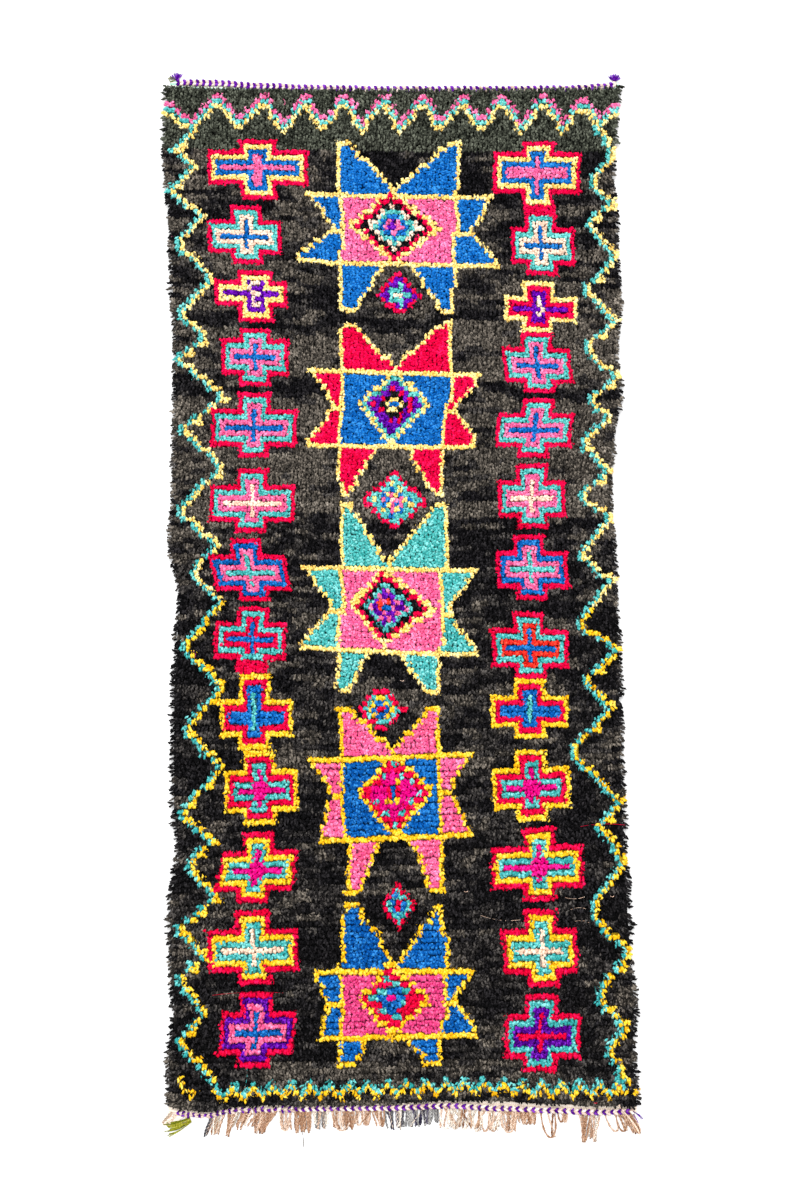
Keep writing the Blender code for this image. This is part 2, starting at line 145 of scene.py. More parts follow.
@dataclass
class Wiring:
    """Adds nodes to a tree, each filled in one call."""

    tree: bpy.types.NodeTree
    given: "bpy.types.bpy_prop_collection | None" = None

    @classmethod
    def group(cls, name: str, output: str, **inputs: str) -> "Wiring":
        """Start a node group.

        Args:
            name: Its name.
            output: Name and type of its output.
            inputs: Names of its inputs by their type.

        Returns:
            The wiring of its tree, with its inputs given.
        """
        tree = bpy.data.node_groups.new(name, "ShaderNodeTree")
        for kind, labels in inputs.items():
            for label in labels.split():
                tree.interface.new_socket(label, in_out="INPUT", socket_type=f"NodeSocket{kind}")
        label, kind = output.split()
        tree.interface.new_socket(label, in_out="OUTPUT", socket_type=f"NodeSocket{kind}")
        return cls(tree, tree.nodes.new("NodeGroupInput").outputs)

    def put(self, value: Socket) -> bpy.types.NodeTree:
        """Wire the group's output, and give the finished group."""
        self.tree.links.new(value, self.tree.nodes.new("NodeGroupOutput").inputs[0])
        return self.tree

    def fill(self, node: bpy.types.Node, inputs: dict[str | int, object]) -> None:
        """Fill the inputs of a node.

        Args:
            node: The node.
            inputs: Plain values and linked sockets by the input's name.
        """
        for name, value in inputs.items():
            if isinstance(value, Socket):
                self.tree.links.new(value, node.inputs[name])
            else:
                node.inputs[name].default_value = value

    def add(self, kind: str, inputs: dict[str | int, object], **settings: object) -> bpy.types.Node:
        """Add a node.

        Args:
            kind: Its type, without the first part of the name.
            inputs: Plain values and linked sockets by the input's name.
            settings: Its own settings.

        Returns:
            The node.
        """
        node = self.tree.nodes.new(f"ShaderNode{kind}")
        for name, value in settings.items():
            setattr(node, name, value)
        self.fill(node, inputs)
        return node

    def math(self, operation: str, first: Socket, second: Socket | float = 0.0) -> Socket:
        """Combine two values by a named operation."""
        return self.add("Math", {0: first, 1: second}, operation=operation).outputs["Value"]

    def ranged(self, value: Socket, *limits: float) -> Socket:
        """Map a value from the range of the first two limits to that of the last two, clamped."""
        inputs = dict(zip(("From Min", "From Max", "To Min", "To Max"), limits))
        return self.add("MapRange", {"Value": value, **inputs}, clamp=True).outputs["Result"]

    def mixed(self, share: Socket, first: Socket, second: Socket | Colour, blend: str = "MIX") -> Socket:
        """Mix a share of the second colour into the first."""
        inputs = {"Factor": share, "A": first, "B": second}
        return self.add("Mix", inputs, data_type="RGBA", blend_type=blend).outputs["Result"]

    def speckle(self, place: Socket, scale: float, detail: float, roughness: float = 0.5) -> Socket:
        """Give a noise texture's value at a place."""
        inputs = {"Vector": place, "Scale": scale, "Detail": detail, "Roughness": roughness}
        return self.add("TexNoise", inputs).outputs["Fac"]

    def shade(self, colour: Socket, height: Socket, relief: float, plain: dict[str, float]) -> None:
        """Wire the material's shader.

        Args:
            colour: Its colour.
            height: Height of its surface, from 0 to 1.
            relief: What that height amounts to.
            plain: Values that are the same all over.
        """
        bump = self.add("Bump", {"Strength": 0.8, "Distance": relief, "Height": height})
        wired = {"Base Color": colour, "Normal": bump.outputs["Normal"]}
        self.fill(self.tree.nodes["Principled BSDF"], wired | plain)


@cache
def yarn_colouring() -> bpy.types.NodeTree:
    """Make the group that dyes a yarn: shades by strand, a drift between dye baths, and painted shade towards
    the root.

    Returns:
        The node group.
    """
    graph = Wiring.group(
        "yarn_colouring", "Colour Color", Color="Dark Base Light Drift", Float="Tone Along Root Amount Grain")
    given = graph.given
    place = graph.add("TexCoord", {}).outputs["Object"]
    stretched = graph.add("Mapping", {"Vector": place, "Scale": (5.0, 13.0, 5.0)}).outputs["Vector"]
    mottled = graph.ranged(graph.speckle(stretched, 1.0, 3.0), 0.45, 0.65, -0.3, 0.3)
    along_rug = graph.add("SeparateXYZ", {"Vector": place}).outputs["Y"]
    drifted = graph.math("ADD", graph.ranged(along_rug, 0.95, -0.75, 0.1, 0.9), mottled)
    amount = graph.math("MULTIPLY", graph.ranged(drifted, 0.0, 1.0, 0.0, 1.0), given["Amount"])
    base = graph.mixed(amount, given["Base"], given["Drift"])
    tips = graph.math("SUBTRACT", graph.speckle(place, 220.0, 3.0), 0.5)
    tone = graph.math("ADD", given["Tone"], graph.math("MULTIPLY", tips, given["Grain"]))
    shaded = graph.mixed(graph.ranged(tone, 0.0, 0.5, 0.0, 1.0), given["Dark"], base)
    toned = graph.mixed(graph.ranged(tone, 0.5, 1.0, 0.0, 1.0), shaded, given["Light"])
    # Painted shade: the lower part of each strand is multiplied towards dark grey, as shade falling between
    # the strands
    painted_shade_share = graph.math("MULTIPLY", graph.ranged(given["Along"], 0.15, 0.9, 1.0, 0.0), given["Root"])
    return graph.put(graph.mixed(painted_shade_share, toned, (0.28, 0.27, 0.27, 1.0), "MULTIPLY"))


@cache
def yarn_relief() -> bpy.types.NodeTree:
    """Make the group that gives a yarn its fibres and the twist of its plies.

    Returns:
        The node group.
    """
    graph = Wiring.group("yarn_relief", "Height Float", Vector="Strand", Float="Tone Around Along Twist")
    given = graph.given
    parts = graph.add("SeparateXYZ", {"Vector": given["Strand"]}).outputs
    turned = graph.math("ADD", parts["X"], graph.math("MULTIPLY", parts["Y"], given["Twist"]))
    around = graph.math("MULTIPLY", turned, given["Around"])
    along = graph.math("MULTIPLY", parts["Y"], given["Along"])
    apart = graph.math("MULTIPLY", given["Tone"], 37.0)
    where = graph.add("CombineXYZ", {"X": around, "Y": along, "Z": apart}).outputs["Vector"]
    return graph.put(graph.speckle(where, 1.0, 4.0, 0.62))


@cache
def weave_ribs() -> bpy.types.NodeTree:
    """Make the group that gives the ridges of a plain weave, from a map that counts ends and picks.

    Returns:
        The node group.
    """
    graph = Wiring.group("weave_ribs", "Height Float", Vector="Weave", Float="Ends Picks")
    parts = graph.add("SeparateXYZ", {"Vector": graph.given["Weave"]}).outputs
    ridges = []
    for axis, count in (("X", "Ends"), ("Y", "Picks")):
        turns = graph.math("MULTIPLY", parts[axis], graph.given[count])
        wave = graph.math("SINE", graph.math("MULTIPLY", turns, math.pi))
        ridges.append(graph.math("ABSOLUTE", wave))
    return graph.put(graph.math("MULTIPLY", *ridges))


@dataclass(frozen=True)
class YarnFinish:
    """Matte wool or rag yarn in shades of one dye."""

    name: str
    base: Colour
    dark: Colour
    light: Colour
    drift: Colour
    # How strongly painted shade darkens each strand towards its root
    painted_root_shade: float = 0.0
    fibres_along: float = 2.2
    relief: float = 0.0005
    drift_amount: float = 1.0
    grain: float = 2.0
    fibres_around: float = 9.0
    twist: float = 0.6
    roughness: float = 0.95
    specular: float = 0.05

    @cache
    def material(self) -> bpy.types.Material:
        """Make the yarn's material.

        Returns:
            The material, the same one each time.
        """
        material = bpy.data.materials.new(self.name)
        material.use_nodes = True
        graph = Wiring(material.node_tree)
        strand = graph.add("UVMap", {}, uv_map="strand").outputs["UV"]
        along = graph.add("SeparateXYZ", {"Vector": strand}).outputs["Y"]
        tone = graph.add("Attribute", {}, attribute_name="tone").outputs["Fac"]
        colouring = {
            "Dark": self.dark, "Base": self.base, "Light": self.light, "Drift": self.drift, "Tone": tone,
            "Along": along, "Root": self.painted_root_shade, "Amount": self.drift_amount, "Grain": self.grain,
        }
        colour = graph.add("Group", colouring, node_tree=yarn_colouring()).outputs["Colour"]
        fibres = {
            "Strand": strand, "Tone": tone, "Around": self.fibres_around, "Along": self.fibres_along,
            "Twist": self.twist,
        }
        height = graph.add("Group", fibres, node_tree=yarn_relief()).outputs["Height"]
        graph.shade(colour, height, self.relief, {
            "Roughness": self.roughness, "Specular IOR Level": self.specular})
        return material


@dataclass(frozen=True)
class ClothFinish:
    """Woven wool cloth: a colour carried by the mesh, with the ridges of its weave and painted shade in the
    hollows between them.
    """

    name: str
    ends: float
    picks: float
    relief: float
    # How strongly painted shade darkens the hollows between the ridges
    painted_hollow_shade_amount: float
    fuzz: float = 420.0
    # Colour of the painted shade in the hollows
    painted_hollow_shade_colour: Colour = (0.3, 0.28, 0.27, 1.0)

    @cache
    def material(self) -> bpy.types.Material:
        """Make the cloth's material.

        Returns:
            The material, the same one each time.
        """
        material = bpy.data.materials.new(self.name)
        material.use_nodes = True
        graph = Wiring(material.node_tree)
        dyed = graph.add("Attribute", {}, attribute_name="dyed").outputs["Color"]
        counts = graph.add("UVMap", {}, uv_map="weave").outputs["UV"]
        place = graph.add("TexCoord", {}).outputs["Object"]
        weave = {"Weave": counts, "Ends": self.ends, "Picks": self.picks}
        ribs = graph.add("Group", weave, node_tree=weave_ribs()).outputs["Height"]
        height = graph.math("ADD", ribs, graph.math("MULTIPLY", graph.speckle(place, self.fuzz, 3.0), 0.5))
        # Painted shade: the hollows between the ridges are darkened
        colour = graph.mixed(graph.ranged(ribs, 0.0, 0.5, self.painted_hollow_shade_amount, 0.0), dyed, self.painted_hollow_shade_colour, "MULTIPLY")
        graph.shade(colour, height, self.relief, {
            "Roughness": 0.92, "Sheen Weight": 0.1, "Specular IOR Level": 0.2})
        return material


# Each pile lot's own colour, its darkest and lightest strands, its colour towards the tail, where the dye
# bath was another one, and how much painted shade darkens its roots
PILE_DYES = {
    Lot.BLACK: ((15, 14, 17), (4, 4, 5), (46, 44, 46), (13, 12, 13), 0.95),
    Lot.SLATE: ((40, 38, 38), (13, 12, 13), (84, 80, 77), (30, 28, 28), 0.95),
    Lot.BARK: ((72, 67, 61), (28, 26, 24), (124, 116, 106), (54, 50, 46), 0.95),
    Lot.ASH: ((92, 86, 78), (40, 38, 36), (150, 141, 130), (72, 67, 61), 0.95),
    Lot.BOTTLE_GREEN: ((54, 57, 49), (20, 22, 18), (104, 108, 95), (60, 60, 53), 0.95),
    Lot.SCARLET: ((226, 0, 66), (184, 0, 46), (246, 26, 92), (204, 0, 40), 0.35),
    Lot.STRAW: ((248, 220, 130), (220, 172, 80), (255, 240, 184), (248, 210, 88), 0.45),
    Lot.GOLD: ((244, 200, 36), (210, 150, 16), (255, 226, 100), (240, 190, 24), 0.45),
    Lot.TURQUOISE: ((86, 184, 180), (40, 142, 138), (136, 216, 212), (52, 156, 158), 0.45),
    Lot.BLUE: ((14, 102, 182), (2, 72, 146), (54, 140, 212), (4, 76, 148), 0.35),
    Lot.PINK: ((232, 102, 156), (202, 68, 120), (248, 148, 190), (230, 82, 124), 0.35),
    Lot.ROSE: ((220, 68, 130), (180, 38, 96), (240, 110, 160), (214, 64, 122), 0.35),
    Lot.MAGENTA: ((222, 0, 130), (176, 0, 96), (242, 44, 156), (212, 0, 112), 0.35),
    Lot.VIOLET: ((100, 2, 166), (58, 0, 108), (132, 40, 198), (66, 0, 116), 0.4),
    Lot.CREAM: ((244, 212, 190), (212, 170, 148), (254, 234, 216), (238, 200, 174), 0.45),
    Lot.EMBER: ((228, 44, 30), (186, 24, 18), (244, 90, 64), (226, 36, 36), 0.35),
}
PILE_FINISHES = {
    lot: YarnFinish(f"{lot.name.lower()}_pile", *(dye(*shade) for shade in shades), root)
    for lot, (*shades, root) in PILE_DYES.items()
}

TWINE_FINISHES = {
    "violet": YarnFinish(
        "violet_twine", dye(88, 12, 140), dye(52, 4, 92), dye(128, 58, 178), dye(70, 8, 112), 0.0, 5.0),
    "white": YarnFinish(
        "white_twine", dye(226, 206, 192), dye(186, 160, 146), dye(246, 236, 226), dye(206, 182, 170),
        0.0, 5.0),
}

# The tuft yarns' fifth value is the painted shade at their roots
VIOLET_YARN = YarnFinish(
    "violet_tuft_yarn", dye(96, 12, 164), dye(58, 4, 112), dye(146, 70, 206), dye(80, 10, 140), 0.3, 6.0)
GREEN_YARN = YarnFinish(
    "green_tuft_yarn", dye(142, 152, 34), dye(98, 108, 20), dye(190, 196, 96), dye(160, 150, 40), 0.2, 8.0)
OLIVE_YARN = YarnFinish(
    "olive_tuft_yarn", dye(118, 122, 62), dye(80, 84, 38), dye(164, 166, 108), dye(104, 104, 60), 0.2, 8.0)

# Each warp yarn's own colour and its darkest and lightest shade
WARP_DYES = {
    "beige": ((206, 176, 154), (160, 122, 98), (236, 214, 196)),
    "tan": ((172, 132, 104), (128, 90, 66), (206, 172, 146)),
    "ecru": ((220, 206, 190), (178, 160, 142), (246, 238, 228)),
    "grey": ((140, 138, 136), (96, 94, 96), (190, 186, 182)),
    "ink": ((58, 54, 74), (26, 24, 38), (104, 98, 118)),
}
WARP_FINISHES = {
    name: YarnFinish(f"{name}_warp", *(dye(*shade) for shade in (*shades, shades[0])), 0.0, 14.0, 0.0003)
    for name, shades in WARP_DYES.items()
}


# Modelled strands and their copies


@dataclass(frozen=True)
class Pattern:
    """A small modelled shape, read into arrays so that it can be copied by the thousand."""

    points: np.ndarray
    corners: np.ndarray
    sizes: np.ndarray
    strand_uv: np.ndarray
    patch_uv: np.ndarray


class Workshop:
    """Modelling steps done with operators, as by hand."""

    @staticmethod
    def clear_selection() -> None:
        """Deselect everything."""
        bpy.ops.object.select_all(action="DESELECT")

    @staticmethod
    def disc(sides: int, radius: float, place: Sequence[float]) -> bpy.types.Object:
        """Start a shape from a small face, left selected in edit mode.

        Args:
            sides: Number of sides.
            radius: Radius of the face.
            place: Where it stands.

        Returns:
            The object.
        """
        Workshop.clear_selection()
        bpy.ops.mesh.primitive_circle_add(vertices=sides, radius=radius, fill_type="NGON", location=place)
        bpy.ops.object.transform_apply(location=True, rotation=True, scale=True)
        bpy.ops.object.mode_set(mode="EDIT")
        bpy.ops.mesh.select_mode(type="FACE")
        bpy.ops.mesh.select_all(action="SELECT")
        return bpy.context.object

    @staticmethod
    def tube(
        sides: int, radius: float, rings: Sequence[Place], start: Place = (0.0, 0.0), twist: float = 0.0
    ) -> Pattern:
        """Model a closed tube: a small face, extruded, scaled and turned ring by ring.

        Args:
            sides: Number of sides.
            radius: Radius of the first ring.
            rings: How far each ring rises and how much it swells.
            start: Where the first ring stands.
            twist: Turn of each ring, in degrees.

        Returns:
            The tube, ready to be copied.
        """
        item = Workshop.disc(sides, radius, (*start, 0.0))
        for rise, swell in rings:
            bpy.ops.mesh.extrude_region_move(TRANSFORM_OT_translate={"value": (0.0, 0.0, rise)})
            faces = [face for face in bmesh.from_edit_mesh(item.data).faces if face.select]
            centre = sum((face.calc_center_median() for face in faces), Vector()) / len(faces)
            bpy.ops.transform.resize(value=(swell,) * 3, center_override=centre)
            if twist:
                bpy.ops.transform.rotate(
                    value=-math.radians(twist), orient_axis="Z", center_override=(0.0, 0.0, 0.0))
        return Workshop.read(item, sides)

    @staticmethod
    def read(item: bpy.types.Object, sides: int, from_tip: bool = False) -> Pattern:
        """Close a modelled tube, read it into arrays and take the model away.

        The strand map runs once around and from root to tip. The patch map lays the same faces out apart.

        Args:
            item: The modelled tube, in edit mode.
            sides: Number of sides it was modelled with.
            from_tip: Whether it was modelled from its tip down.

        Returns:
            The shape as a pattern for copies.
        """
        bpy.ops.mesh.select_all(action="SELECT")
        bpy.ops.mesh.normals_make_consistent(inside=False)
        bpy.ops.object.mode_set(mode="OBJECT")
        mesh = item.data
        points = np.empty(len(mesh.vertices) * 3)
        mesh.vertices.foreach_get("co", points)
        rings = math.ceil(len(mesh.vertices) / sides)
        point = len(mesh.vertices) - 1 if len(mesh.vertices) % sides else None
        around = {vertex: vertex for vertex in range(sides)}
        for low, high in sorted((sorted(edge.vertices) for edge in mesh.edges), key=lambda ends: ends[1]):
            if low // sides != high // sides:
                around[high] = around[low]
        # The extrusions list their faces in another order each run, so they are put in order here
        faces = sorted((list(face.vertices) for face in mesh.polygons), key=sorted)
        strand, patch = [], []
        for face in faces:
            ring_numbers = [vertex // sides for vertex in face]
            is_cap = len(set(ring_numbers)) == 1
            steps = {vertex: around[vertex] for vertex in face if vertex != point}
            if not is_cap and max(steps.values()) - min(steps.values()) > 1:
                steps = {vertex: step or sides for vertex, step in steps.items()}
            for ring, vertex in zip(ring_numbers, face):
                step = steps.get(vertex, sum(steps.values()) / len(steps))
                along = ring / (rings - 1)
                strand.append((step / sides, 1.0 - along if from_tip else along))
                if is_cap:
                    turn = 2.0 * math.pi * step / sides
                    middle = 0.25 if along < 0.5 else 0.75
                    patch.append((middle + 0.2 * math.cos(turn), 0.9 + 0.09 * math.sin(turn)))
                else:
                    patch.append((step / sides, 0.78 * along))
        corners = np.array([vertex for face in faces for vertex in face])
        sizes = np.array([len(face) for face in faces])
        bpy.data.meshes.remove(mesh)
        return Pattern(points.reshape(-1, 3), corners, sizes, np.array(strand), np.array(patch))


class Copies:
    """Gathers placed copies of patterns and makes them one mesh."""

    def __init__(self, name: str) -> None:
        """Start a piece of this name without copies."""
        self.name = name
        self.batches: list[tuple[Pattern, np.ndarray, np.ndarray]] = []

    def add(self, pattern: Pattern, points: np.ndarray, tones: np.ndarray) -> None:
        """Add copies of one pattern.

        Args:
            pattern: The shape that was copied.
            points: Points of every copy, by copy, point and axis.
            tones: Shade of every copy, from 0, dark, to 1, light.
        """
        if len(points):
            self.batches.append((pattern, points, tones))

    def lay(
        self, pattern: Pattern, spots: Sequence[np.ndarray], turn: np.ndarray, shape: Sequence[np.ndarray],
        tones: np.ndarray,
    ) -> None:
        """Turn flat-lying copies and set them in their places.

        Args:
            pattern: The shape that was copied.
            spots: x and y of every copy.
            turn: Turn of every copy.
            shape: Each copy's points before the turn, by axis, with their final heights.
            tones: Shade of every copy.
        """
        x, y = spots
        across, along, height = shape
        cosine, sine = np.cos(turn)[:, None], np.sin(turn)[:, None]
        points = (
            x[:, None] + cosine * across - sine * along, y[:, None] + sine * across + cosine * along, height)
        self.add(pattern, np.stack(points, axis=2), tones)

    def finish(self, finish: YarnFinish, slot: str, *nodes: str) -> None:
        """Join the copies, give them their yarn and set the piece in the frame.

        Args:
            finish: Its yarn.
            slot: Material slot of the record.
            nodes: Nodes of the solids that it stands for.
        """
        if not self.batches:
            return
        per_side = math.ceil(math.sqrt(sum(len(places) for _, places, _ in self.batches)))
        columns = [[] for _ in range(6)]
        point_count, copy_count = 0, 0
        for pattern, places, shades in self.batches:
            count, size = places.shape[:2]
            starts = point_count + size * np.arange(count)
            numbers = copy_count + np.arange(count)
            cell = np.stack((numbers % per_side, numbers // per_side), axis=1)
            inset = 0.12 + 0.76 * pattern.patch_uv
            parts = (
                places.reshape(-1, 3),
                (pattern.corners[None, :] + starts[:, None]).ravel(),
                np.tile(pattern.sizes, count),
                np.tile(pattern.strand_uv, (count, 1)),
                ((cell[:, None, :] + inset[None, :, :]) / per_side).reshape(-1, 2),
                np.repeat(shades, size),
            )
            for column, part in zip(columns, parts):
                column.append(part)
            point_count += count * size
            copy_count += count
        points, corners, sizes, strands, cells, tones = (np.concatenate(column) for column in columns)
        mesh = bpy.data.meshes.new(self.name)
        mesh.vertices.add(len(points))
        mesh.vertices.foreach_set("co", points.astype(np.float32).ravel())
        mesh.loops.add(len(corners))
        mesh.loops.foreach_set("vertex_index", corners.astype(np.int32))
        mesh.polygons.add(len(sizes))
        mesh.polygons.foreach_set("loop_start", (np.cumsum(sizes) - sizes).astype(np.int32))
        mesh.update(calc_edges=True)
        mesh.polygons.foreach_set("use_smooth", np.ones(len(sizes), dtype=bool))
        for label, places in (("strand", strands), ("OFBake", cells)):
            mesh.uv_layers.new(name=label).uv.foreach_set("vector", places.astype(np.float32).ravel())
        mesh.validate()
        mesh.attributes.new("tone", "FLOAT", "POINT").data.foreach_set("value", tones.astype(np.float32))
        mesh.materials.append(finish.material())
        piece = bpy.data.objects.new(self.name, mesh)
        bpy.context.collection.objects.link(piece)
        settle(piece, slot, *nodes)


def settle(piece: bpy.types.Object, slot: str, *nodes: str) -> None:
    """Set a finished piece in the frame and report it.

    Args:
        piece: The piece, in place.
        slot: Material slot of the record, not used.
        nodes: Nodes of the solids that it stands for.
    """
    if nodes:
        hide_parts(*nodes)
    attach(piece, BODY)
    log.info("%s: %d triangles", piece.name, sum(len(face.vertices) - 2 for face in piece.data.polygons))


# The chart and its motifs


@dataclass(frozen=True)
class RugLayout:
    """Where the knots of the chart stand on the rug."""

    columns: int = 97
    rows: int = 181
    edge_inset: float = 0.0075
    # Depth of the rows: how many, and how deep each is
    pitches: tuple[tuple[int, float], ...] = (
        (70, 0.01352), (37, 0.01404), (17, 0.01534), (24, 0.01586), (28, 0.01677), (5, 0.01360),
    )
    # How far a row climbs to the right, in metres for each metre, at some rows
    slopes: tuple[tuple[int, float], ...] = (
        (0, 0.0), (20, -0.012), (34, -0.040), (55, -0.029), (69, 0.0), (92, -0.006), (107, -0.034),
        (125, 0.029), (138, 0.040), (159, 0.017), (170, 0.011), (181, 0.011),
    )
    end_rows: int = 8
    # How many rows the field sags at some rows: on the left and on the right of its middle
    sags: tuple[Spot, ...] = (
        (0, 0.0, 0.0), (20, 0.15, 0.45), (34, 0.60, 0.15), (55, 0.25, 0.25), (69, 0.20, 0.60),
        (80, 0.20, 0.20), (92, -0.10, 0.30), (107, 0.40, 0.60), (116, 0.10, 0.10), (125, 0.40, 0.10),
        (138, 0.45, 0.45), (148, 0.10, 0.10), (159, -0.45, -0.20), (170, 0.00, -0.30), (176, 0.0, 0.0),
    )
    sag_columns: tuple[int, int, int, int] = (25, 34, 62, 71)

    def place(self, column: np.ndarray, row: np.ndarray) -> tuple[np.ndarray, np.ndarray]:
        """Find places on the rug, with the middle of the first knot at (0.5, 0.5).

        Args:
            column: Columns, whole or broken.
            row: Rows, whole or broken.

        Returns:
            x and y in metres.
        """
        rows, left_sag, right_sag = zip(*self.sags)
        lefts, rights = np.interp(row, rows, left_sag), np.interp(row, rows, right_sag)
        middle = np.interp(column, self.sag_columns[1:3], (0.0, 1.0))
        inside = np.interp(column, self.sag_columns, (0.0, 1.0, 1.0, 0.0))
        row = row + inside * (lefts + middle * (rights - lefts))
        counts, pitches = zip(*self.pitches)
        depths = np.concatenate(([0.0], np.cumsum(np.repeat(pitches, counts))))
        head, tail = float(np.mean(HEAD_LINE.values)), float(np.mean(TAIL_LINE.values))
        level = head + (tail - head) * (np.interp(row, np.arange(len(depths)), depths) / depths[-1])
        left = LEFT_EDGE(level) + self.edge_inset
        x = left + column / self.columns * (RIGHT_EDGE(level) - self.edge_inset - left)
        slope = np.interp(row, *zip(*self.slopes)) * x
        at_head = np.clip(1.0 - row / self.end_rows, 0.0, 1.0)
        at_tail = np.clip((row - self.rows + self.end_rows) / self.end_rows, 0.0, 1.0)
        y = level + (1.0 - at_head - at_tail) * slope
        return x, y + (at_head * (HEAD_LINE(x) - head) + at_tail * (TAIL_LINE(x) - tail))


@dataclass
class Chart:
    """The weaver's chart: one dye lot for each knot."""

    columns: int
    rows: int

    def __post_init__(self) -> None:
        """Start all black."""
        self.lots = np.full((self.rows, self.columns), int(Lot.BLACK))

    def knot(self, column: int, row: int, lot: Lot) -> None:
        """Tie one knot, if it is on the chart."""
        if 0 <= column < self.columns and 0 <= row < self.rows:
            self.lots[row, column] = int(lot)

    def span(self, row: int, left: float, right: float, lot: Lot) -> None:
        """Tie the knots of one row whose middles lie between two columns."""
        for column in range(math.ceil(left - 0.5), math.ceil(right - 0.5)):
            self.knot(column, row, lot)

    def arm(
        self, rows: tuple[int, int], left: Place, right: Place, fill: Lot, left_line: Lot | None,
        right_line: Lot | None,
    ) -> None:
        """Tie a four-sided field whose sides step from row to row, with lines along its sides.

        Args:
            rows: Its first row, and the row after its last.
            left: Column of its left side at its top and at its bottom.
            right: Column of its right side at its top and at its bottom.
            fill: Dye lot inside.
            left_line: Dye lot along the left side, if any.
            right_line: Dye lot along the right side, if any.
        """
        height = rows[1] - rows[0]
        for row in range(*rows):
            share, following = (row - rows[0]) / height, (row + 1 - rows[0]) / height
            (left_out, left_in), (right_in, right_out) = (
                sorted((top + (bottom - top) * share, top + (bottom - top) * following))
                for top, bottom in (left, right)
            )
            self.span(row, left_out, right_out, fill)
            if left_line is not None:
                self.span(row, left_out, max(left_in, left_out + 1.0), left_line)
            if right_line is not None:
                self.span(row, min(right_in, right_out - 1.0), right_out, right_line)


@dataclass(frozen=True)
class Star:
    """Eight-pointed star: a box with two arms on every side, outlined one knot wide."""

    # Rows: the tips of the upper arms, the upper bar, the waist, the lower bar and the tips of the lower arms
    tops: tuple[int, int]
    bar: int
    waist: int
    base: int
    bottom: int
    # Columns of the left and of the right side: of the upper arms, the box and the lower arms, top and bottom
    left: tuple[Place, Place, Place]
    right: tuple[Place, Place, Place]
    # Columns of both inner corners: of the upper tips, the lower arms at the bar and the lower tips
    upper_inner: Place
    valley: float
    lower_inner: Place
    tip_inner: Place
    bar_ends: Place
    waist_ends: Place
    base_ends: Place
    arms: Lot
    heart: Lot
    outline: Lot

    def weave(self, chart: Chart) -> None:
        """Tie the star.

        Args:
            chart: Chart that it goes on.
        """
        line, fill = self.outline, self.arms
        upper, box, lower = zip(self.left, self.right)
        left_inner, right_inner = self.upper_inner
        chart.arm((self.tops[0], self.bar), upper[0], (left_inner, self.valley + 0.5), fill, line, line)
        chart.arm((self.tops[1], self.bar), (right_inner, self.valley - 0.5), upper[1], fill, line, line)
        waist_box = [0.5 * (side[0] + side[1]) for side in box]
        levels = (
            (self.bar, self.bar_ends, (box[0][0], box[1][0])),
            (self.waist, self.waist_ends, waist_box),
            (self.base, self.base_ends, (box[0][1], box[1][1])),
        )
        for (top, outer, inner), (end, outer_end, inner_end) in zip(levels, levels[1:]):
            chart.arm((top, end), (outer[0], outer_end[0]), (inner[0], inner_end[0]), fill, line, None)
            chart.arm((top, end), (inner[1], inner_end[1]), (outer[1], outer_end[1]), fill, None, line)
        chart.span(self.waist, self.waist_ends[0], waist_box[0], line)
        chart.span(self.waist, waist_box[1], self.waist_ends[1], line)
        chart.arm((self.bar, self.base), box[0], box[1], self.heart, line, line)
        lower_rows = (self.base, self.bottom)
        chart.arm(lower_rows, lower[0], (self.lower_inner[0], self.tip_inner[0]), fill, line, line)
        chart.arm(lower_rows, (self.lower_inner[1], self.tip_inner[1]), lower[1], fill, line, line)
        for row, left, right in (
            (self.bottom - 1, lower[0][1], self.tip_inner[0]),
            (self.bottom - 1, self.tip_inner[1], lower[1][1]),
            (self.tops[0], upper[0][0], self.upper_inner[0]),
            (self.tops[1], self.upper_inner[1], upper[1][0]),
            (self.bar, *self.bar_ends),
            (self.base, *self.base_ends),
        ):
            chart.span(row, left, right, line)


def read_rings(names: str) -> list[list[Lot]]:
    """Read rings of yarn from the names of their lots, with a slash between lots that take turns."""
    return [[Lot[name.upper()] for name in ring.split("/")] for ring in names.split()]


@dataclass(frozen=True)
class SteppedCross:
    """Cross with stepped arms, ring within ring."""

    column: int
    row: int
    left: int
    right: int
    rings: str
    rise: int = 6
    drop: int = 5
    arm: tuple[int, int] = (3, 3)
    upright: tuple[int, int] = (3, 3)
    flecks: tuple[tuple[int, int, Lot], ...] = ()

    def weave(self, chart: Chart) -> None:
        """Tie the cross, from its outer ring inwards.

        Args:
            chart: Chart that it goes on.
        """
        inside = np.zeros_like(chart.lots, dtype=bool)
        (above, below), (before, after) = self.arm, self.upright
        columns = slice(self.column - before, self.column + after + 1)
        inside[self.row - above:self.row + below + 1, self.left:self.right + 1] = True
        inside[self.row - self.rise:self.row + self.drop + 1, columns] = True
        for (lot,) in read_rings(self.rings):
            chart.lots[inside] = int(lot)
            neighbours = [(down, across) for down in (-1, 0, 1) for across in (-1, 0, 1)]
            inside = np.all([np.roll(inside, step, axis=(0, 1)) for step in neighbours], axis=0)
        for across, down, lot in self.flecks:
            chart.knot(self.column + across, self.row + down, lot)


